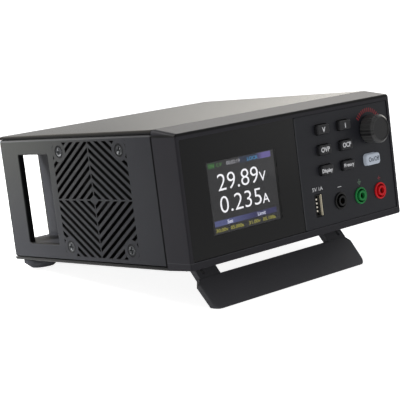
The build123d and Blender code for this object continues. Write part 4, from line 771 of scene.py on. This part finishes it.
class SUPPLY_OT_bezel(bpy.types.Operator):
    """Finishes the bezel and the keypad panel"""
    bl_idname = "supply.bezel"
    bl_label = "Bezel and keypad panel"

    def execute(self, context):
        tones = context.scene.supply_finishes
        # ABS moulded in a spark-eroded tool: an even dull grain that spreads highlights. The grain is
        # 0.1 mm, drawn at 0.7 mm so that it can show.
        bezel = grained("abs_spark_textured", tones.bezel, 0.48, 0.7, 0.03, shine=0.33)
        tree = bezel.node_tree
        height = level_place(tree, 2)
        # A painted highlight lies along the inner edge under the window, and painted shade darkens the
        # round upper edge.
        foot = level_box("display_lens")[0].z
        top = level_box("front_bezel")[1].z
        overlaid(bezel, "#4c4c51", between(tree, height, foot - 0.28, foot - 0.04, 0.04))
        overlaid(bezel, "#0a0a0b", between(tree, height, top - 4.7, top - 3.2, 0.15))
        paint(bezel, "front_bezel")
        # Polycarbonate film: satin and very even.
        film = grained(
            "polycarbonate_film_satin", tones.keypad, 0.42, FINE_GRAIN, 0.006, mottle=0.04,
            shine=0.4)
        tree = film.node_tree
        # Its cut edge beside the window is painted paler, a painted highlight where it faces the light.
        cut = level_box("keypad_panel")[0].x
        overlaid(film, "#56575b", between(tree, level_place(tree, 0), -FAR, cut + 0.18, 0.03))
        paint(film, "keypad_panel")
        return {"FINISHED"}


class SUPPLY_OT_key_caps(bpy.types.Operator):
    """Finishes the six small keys and the output key"""
    bl_idname = "supply.key_caps"
    bl_label = "Key caps"

    def execute(self, context):
        # Hard keys moulded in ABS with a light polish: dark and even, with soft highlights.
        dark = grained("abs_moulded_satin", "#29292c", 0.34, FINE_GRAIN, 0.006, mottle=0.05)
        paint(dark, *KEY_LEGENDS)
        # Translucent white key, lit from behind while the output is on.
        white = grained(
            "polycarbonate_moulded_opal", "#adb5c1", 0.35, FINE_GRAIN, 0.006, mottle=0.02,
            glow=0.3)
        paint(white, "output_key")
        return {"FINISHED"}


class SUPPLY_OT_knob(bpy.types.Operator):
    """Finishes the fluted knob"""
    bl_idname = "supply.knob"
    bl_label = "Knob"

    def execute(self, context):
        # Moulded elastomer: rubbery and dark, with painted highlights that make the flutes paler than the
        # face.
        knob = grained("elastomer_moulded", "#262627", 0.3, MOULD_GRAIN, 0.01)
        tree = knob.node_tree
        face_radius, rim_radius = 6.6, 8.2
        rim, heading = off_axis(tree, "dial_turn", face_radius, rim_radius)
        # Streaks of painted highlight follow one another on the way round, each about a quarter of the
        # radius long.
        highlight_streaks = add_node(tree, "ShaderNodeTexNoise", {
            "Vector": heading, "Scale": 4.0, "Detail": 3.0})
        painted_glints = add_node(tree, "ShaderNodeMapRange", {
            "Value": highlight_streaks.outputs[0], "From Min": 0.34, "From Max": 0.46})
        share = add_node(tree, "ShaderNodeMath", {
            0: rim, 1: painted_glints.outputs[0]}, operation="MULTIPLY")
        overlaid(knob, "#4b4b4b", share.outputs[0])
        paint(knob, "knob")
        return {"FINISHED"}


class SUPPLY_OT_sockets(bpy.types.Operator):
    """Finishes the three safety sockets and the charging port"""
    bl_idname = "supply.sockets"
    bl_label = "Sockets"

    def execute(self, context):
        # Moulded polyamide: clean strong colours with a soft gloss.
        for name, code, node, rough, shine in (
                ("black", "#101011", "jack_negative", 0.3, 0.5),
                ("green", "#1f8a45", "jack_earth", 0.35, 0.3),
                ("red", "#dc1620", "jack_positive", 0.35, 0.25)):
            paint(grained(f"polyamide_{name}", code, rough, MOULD_GRAIN, 0.01, shine=shine), node)
        # Tinned sheet, soft and pale: painted shade darkens the shell except its right side, which faces
        # the light and keeps the pale tone.
        tin = grained("steel_sheet_tinned", "#fbeed2", 0.45, FINE_GRAIN, 0.004)
        tree = tin.node_tree
        right = level_box("usb_shell")[1].x
        overlaid(tin, "#2a2927", between(tree, level_place(tree, 0), -FAR, right - 0.85))
        paint(tin, "usb_shell")
        # Bronze strip with a flash of gold: a pale row, whose glow stands for the glints of its bends.
        flash = grained("bronze_strip_gold_flashed", "#f6efe0", 0.35, 0.4, 0.003, glow=0.45)
        paint(flash, "usb_contacts")
        # Moulded nylon: black and dull.
        nylon = grained("nylon_moulded_black", "#151516", 0.45, FINE_GRAIN, 0.01)
        paint(nylon, "usb_tongue")
        return {"FINISHED"}


class SUPPLY_OT_inside(bpy.types.Operator):
    """Finishes the fan, the boards, the power stage and the mains side"""
    bl_idname = "supply.inside"
    bl_label = "Inner and rear parts"

    def execute(self, context):
        # PBT mouldings: black with a faint satin.
        pbt = grained("pbt_moulded", "#1d1d1e", 0.4, MOULD_GRAIN, 0.01)
        paint(pbt, "fan_frame", "fan_rotor", "key_switches", "power_transistors")
        # Thermoset mouldings: black and hard, a little glossier than the others.
        thermoset = grained("thermoset_moulded", "#181818", 0.3, MOULD_GRAIN, 0.008)
        paint(thermoset, "mains_inlet", "rocker_housing", "mains_rocker")
        # Glass-fibre board under green solder mask: glossy, with the weave just felt. Its threads are
        # 0.5 mm apart, drawn at 1.2 mm so that they can show.
        board = grained("solder_mask_on_glass_fibre", "#1d5a34", 0.3, 1.2, 0.01, mottle=0.15)
        paint(board, "main_board", "control_board")
        # Sintered ferrite: dark grey and dull, like fired clay.
        paint(grained("ferrite_sintered", "#2f2f31", 0.6, COAT_GRAIN, 0.03), "transformer_core")
        # Polyester tape: yellow and satin, with wrinkles of 3 mm.
        paint(grained("polyester_tape", "#c8a83c", 0.35, 3.0, 0.03), "transformer_winding")
        paint(wound_wire(), "ring_choke")
        # Shrunk sleeve film: dark blue, glossy and drawn tight, with waves of 2 mm.
        paint(grained("sleeve_film_shrunk", "#1c2030", 0.25, 2.0, 0.01), "capacitors")
        return {"FINISHED"}


class SUPPLY_OT_window(bpy.types.Operator):
    """Window pane, the glass behind it, and gloss black print that leaves the display open"""
    bl_idname = "supply.window"
    bl_label = "Window"

    def execute(self, context):
        paint(smoked_acrylic(), "display_lens")
        # Dark display glass: even and glossy, with waves of 2 mm that are barely there.
        glass = grained("display_glass_dark", "#1c1c1d", 0.12, 2.0, 0.001, mottle=0.02)
        paint(glass, "lcd_glass")
        # Screen ink with a clear hard coat: even, black, mirror gloss.
        ink = grained(
            "screen_ink_hard_coated", "#121213", 0.16, COAT_GRAIN, 0.0006, mottle=0.03,
            spread=0.03)
        bare_rim = 0.03
        low, high = level_box("display_lens")
        outer = rounded(
            low.x + bare_rim, high.x - bare_rim, low.z + bare_rim, high.z - bare_rim, 0.8)
        front = low.y - PRINT_GAP
        left, right, foot, top = PRINT_COVER
        low, high = level_box("lcd_glass")
        hole = rounded(low.x + left, high.x - right, low.z + foot, high.z - top, 0.3)
        plate = prism(outer, front - INK, front, [hole])
        piece("window_print", plate, ink)
        return {"FINISHED"}


class SUPPLY_OT_display(bpy.types.Operator):
    """Lit display with two readings, a status strip and a row of set values"""
    bl_idname = "supply.display"
    bl_label = "Lit display"

    def execute(self, context):
        show = context.scene.supply_display
        glass = middle_of("lcd_glass")
        glass_face = level_box("lcd_glass")[0].y
        middle_x = glass.x + show.right * PER_METRE
        middle_z = glass.z + show.up * PER_METRE
        half_w = show.width * PER_METRE / 2
        half_h = show.height * PER_METRE / 2

        def front(layer):
            return glass_face - DISPLAY_GAP - layer * LAYER

        # Bars and words are placed from the middle of the lit area: bars by their edges, words by
        # their left end and the middle of their height.
        def bar(left, right, low, high, layer=1):
            outline = rounded(middle_x + left, middle_x + right, middle_z + low, middle_z + high)
            return prism(outline, front(layer) - INK, front(layer))

        def words(body, left, up, height, width, bold=0.0, layer=1):
            return lettering(
                body, middle_x + left, middle_z + up, height, width, front(layer), bold, "LEFT")

        def lit(name, meshes, colour, slot="white_plastic", strength=1.0, **run):
            finish = glowing(f"display_{name}", colour, strength, **run)
            piece(f"display_{name}", joined(meshes), finish)

        lit("ground", [bar(-half_w, half_w, -half_h, half_h, 0)], "#272727", "display_glass")
        lit("readings", [
            words(show.volts, -20.2, 8.9, 10.4, 32.8, -0.12),
            words(show.amps, -20.2, -4.1, 10.4, 33.4, -0.12),
            words("V", 13.3, 7.0, 6.0, 5.6, 0.02),
            words("A", 14.0, -6.3, 6.0, 5.6, 0.02),
        ], "#ffffff", strength=1.25)
        lit("clock", [words("00:02:19", -11.6, 18.9, 2.2, 10.8, 0.04)], "#a9a9ad")
        lit("state_bar", [bar(-1.2, 24.6, 17.2, 20.7)], "#1d2a40", "display_glass",
            end_colour="#6a5f9c", span=(middle_x + 12.5, middle_x + 18.0))
        lit("state_words", [words("LOCK", 5.2, 18.7, 2.1, 8.8, 0.02, 2)], "#4f9fd2")
        lit("band", [bar(-26.2, 24.4, -16.3, -13.1)], "#555b88", "display_glass",
            end_colour="#33335c", span=(middle_x - 12.0, middle_x + 6.0))
        lit("band_words", [
            words("Set", -16.2, -14.7, 2.2, 4.4, 0.08, 2),
            words("Limit", 8.6, -14.7, 2.2, 6.6, 0.06, 2),
        ], "#dfe2f4")
        lit("on_box", [bar(-26.4, -20.8, 17.2, 20.6)], "#274a27", "green_plastic")
        lit("on_words", [
            words("ON", -25.6, 18.9, 2.0, 4.0, 0.0, 2),
            words("C.V", -19.6, 18.9, 2.0, 4.2),
        ], "#5aa04a", "green_plastic")
        lit("set_values", [
            words(body, left, -18.6, 2.1, width, 0.08) for body, left, width in (
                ("30.00v", -25.8, 9.6), ("05.000a", -14.2, 10.6),
                ("31.00v", 0.6, 9.6), ("05.100a", 12.4, 10.6))
        ], "#9d9840", "gold")
        return {"FINISHED"}


class SUPPLY_OT_key_legends(bpy.types.Operator):
    """Printed legends on the keys, each riding on its key"""
    bl_idname = "supply.key_legends"
    bl_label = "Key legends"

    def execute(self, context):
        # Screen ink: flat, dense and slightly raised.
        white = grained("screen_ink_white", "#e6e7ea", 0.5, FINE_GRAIN, 0.003, mottle=0.03)
        for key, (body, right, up, height, width) in KEY_LEGENDS.items():
            ink = key_word(key, body, right, up, height, width, 0.16)
            piece(f"legend_{key}", ink, white, key)
        grey = grained("screen_ink_grey", "#323d4c", 0.5, FINE_GRAIN, 0.003, mottle=0.03)
        ink = key_word("output_key", "On/Off", 0.5, 0.1, 2.9, 10.2, 0.06)
        piece("legend_output_key", ink, grey, "output_key")
        return {"FINISHED"}


class SUPPLY_OT_panel_marks(bpy.types.Operator):
    """Signs over the sockets, the port's rating and the red scale round the knob"""
    bl_idname = "supply.panel_marks"
    bl_label = "Panel marks"

    def execute(self, context):
        white = bpy.data.materials["screen_ink_white"]
        minus = panel_bar(middle_of("jack_negative"), 0.4, 8.8, 3.4, 0.4)
        port = middle_of("usb_shell")
        rating = lettering("5V 1A", port.x + 0.1, port.z + 10.3, 2.4, 9.4, PANEL_FACE, 0.04)
        piece("marks_white", joined([minus, rating]), white)
        # Coloured screen inks: flat and dense, duller than the white.
        green = grained("screen_ink_green", "#5f7a66", 0.5, FINE_GRAIN, 0.003)
        socket = middle_of("jack_earth")
        earth = [
            panel_bar(socket, 0.0, up, width, height) for up, width, height in (
                (9.9, 0.5, 1.6), (8.85, 3.6, 0.5), (8.05, 2.4, 0.5), (7.25, 1.2, 0.5))]
        piece("mark_earth", joined(earth), green)
        red = grained("screen_ink_red", "#962630", 0.5, FINE_GRAIN, 0.003)
        socket = middle_of("jack_positive")
        marks = [
            panel_bar(socket, 0.2, up, width, height) for up, width, height in (
                (8.1, 2.8, 0.4), (7.3, 0.4, 1.2), (8.9, 0.4, 1.2))]
        # Thirteen ticks round the knob, 8.6 degrees apart.
        knob_middle = (LEVEL @ Vector(joint("dial_turn")["pos_m"])).xz + Vector((0.4, 0.1))
        tick = rounded(10.9, 13.5, -0.46, 0.46)
        for step in range(-6, 7):
            turn = Matrix.Rotation(math.radians(90 - step * 8.6), 2)
            outline = [knob_middle + turn @ Vector(corner) for corner in tick]
            marks.append(prism(outline, PANEL_FACE - INK, PANEL_FACE))
        piece("marks_red", joined(marks), red)
        return {"FINISHED"}


class SUPPLY_OT_fan_label(bpy.types.Operator):
    """Plain printed label on the motor carrier of the fan"""
    bl_idname = "supply.fan_label"
    bl_label = "Fan label"

    def execute(self, context):
        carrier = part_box("fan_frame")[0].x * PER_METRE

        def plate(outline, x=carrier - INK):
            """Ink on the label, with its outline along and up from the fan's axis."""
            return side_plate([(FAN_AXIS.y + along, FAN_AXIS.z + up) for along, up in outline], x)

        # Label film: matt black, on the fixed motor carrier.
        film = grained("polyester_film_black", "#1c1c1e", 0.45, 1.0, 0.004)
        piece("fan_hub_disc", plate(circle(13.4), carrier), film)
        # Label inks: dense and satin. Four slanted rows of small print stand side by side.
        grey = grained("label_ink_grey", "#d0d0d0", 0.5, FINE_GRAIN, 0.002)
        rows = []
        for row in range(4):
            near = Vector((6.5, 2.0)) + row * Vector((0.7, 2.4))
            far = Vector((13.5, 4.5)) + row * Vector((0.3, 2.0))
            height = Vector((-0.3, 1.3))
            rows.append(plate([near, far, far + height, near + height]))
        piece("fan_label_rows", joined(rows), grey)
        gold = grained("label_ink_gold", "#d79a3a", 0.35, FINE_GRAIN, 0.002)
        patch = plate([(-0.6, -2.6), (2.6, -5.0), (2.2, -12.4), (-1.4, -10.4)])
        piece("fan_label_gold", patch, gold)
        bright = grained("label_ink_white", "#f4f4f4", 0.4, FINE_GRAIN, 0.002)
        bars = [
            plate([(left, -2.4), (left + 1.9, -3.4), (left + 1.9, -10.6), (left, -9.6)])
            for left in (-9.4, -6.0)]
        piece("fan_label_bars", joined(bars), bright)
        return {"FINISHED"}


class SUPPLY_OT_stage(bpy.types.Operator):
    """Pale floor, soft lamps, even room light and the camera"""
    bl_idname = "supply.stage"
    bl_label = "Studio stage"

    def execute(self, context):
        stage = context.scene.supply_stage
        camera = bpy.data.cameras.new("camera")
        camera.lens = stage.lens
        camera.sensor_width = 36.0
        eye = bpy.data.objects.new("camera", camera)
        eye.location = STANDING @ (Vector(stage.eye) * PER_METRE)
        eye.rotation_euler = stage.turn
        context.scene.collection.objects.link(eye)
        context.scene.camera = eye

        form = bmesh.new()
        bmesh.ops.create_grid(form, x_segments=8, y_segments=8, size=6.0)
        mesh = bpy.data.meshes.new("floor")
        form.to_mesh(mesh)
        form.free()
        mesh.materials.append(backdrop_card())
        floor = bpy.data.objects.new("floor", mesh)
        context.scene.collection.objects.link(floor)

        context.scene.world = room(stage.room)
        soft_lamp("back_lamp", (-0.35, 0.34, 0.42), (-0.09, 0.24, 0.19), 0.2, stage.back, 60)
        soft_lamp("top_lamp", (0.30, 0.25, 0.45), (0.05, 0.08, 0.09), 0.4, stage.top)
        context.scene.view_settings.view_transform = "Standard"
        return {"FINISHED"}


class SUPPLY_PT_panel(bpy.types.Panel):
    """Lists the steps that make the supply's looks, and their settings"""
    bl_idname = "SUPPLY_PT_panel"
    bl_label = "Bench power supply"
    bl_space_type = "VIEW_3D"
    bl_region_type = "UI"
    bl_category = "Supply"

    def draw(self, context):
        for operator in OPERATORS:
            self.layout.operator(operator.bl_idname)
        for group in GROUPS:
            settings = getattr(context.scene, group)
            for name in settings.bl_rna.properties.keys():
                if name not in ("rna_type", "name"):
                    self.layout.prop(settings, name)


OPERATORS = (
    SUPPLY_OT_sheets,
    SUPPLY_OT_side_walls,
    SUPPLY_OT_metal_parts,
    SUPPLY_OT_feet_and_bail,
    SUPPLY_OT_bezel,
    SUPPLY_OT_key_caps,
    SUPPLY_OT_knob,
    SUPPLY_OT_sockets,
    SUPPLY_OT_inside,
    SUPPLY_OT_window,
    SUPPLY_OT_display,
    SUPPLY_OT_key_legends,
    SUPPLY_OT_panel_marks,
    SUPPLY_OT_fan_label,
    SUPPLY_OT_stage,
)
GROUPS = {
    "supply_finishes": SupplyFinishes,
    "supply_display": SupplyDisplay,
    "supply_stage": SupplyStage,
}


def register():
    """Registers the settings, the operators and the panel."""
    for name, group in GROUPS.items():
        bpy.utils.register_class(group)
        setattr(bpy.types.Scene, name, PointerProperty(type=group))
    for operator in OPERATORS:
        bpy.utils.register_class(operator)
    bpy.utils.register_class(SUPPLY_PT_panel)


def unregister():
    """Takes them away again."""
    bpy.utils.unregister_class(SUPPLY_PT_panel)
    for operator in reversed(OPERATORS):
        bpy.utils.unregister_class(operator)
    for name, group in GROUPS.items():
        delattr(bpy.types.Scene, name)
        bpy.utils.unregister_class(group)


def main():
    """Makes everything in order."""
    register()
    for operator in OPERATORS:
        area, name = operator.bl_idname.split(".")
        getattr(getattr(bpy.ops, area), name)()


if __name__ == "__main__":
    main()
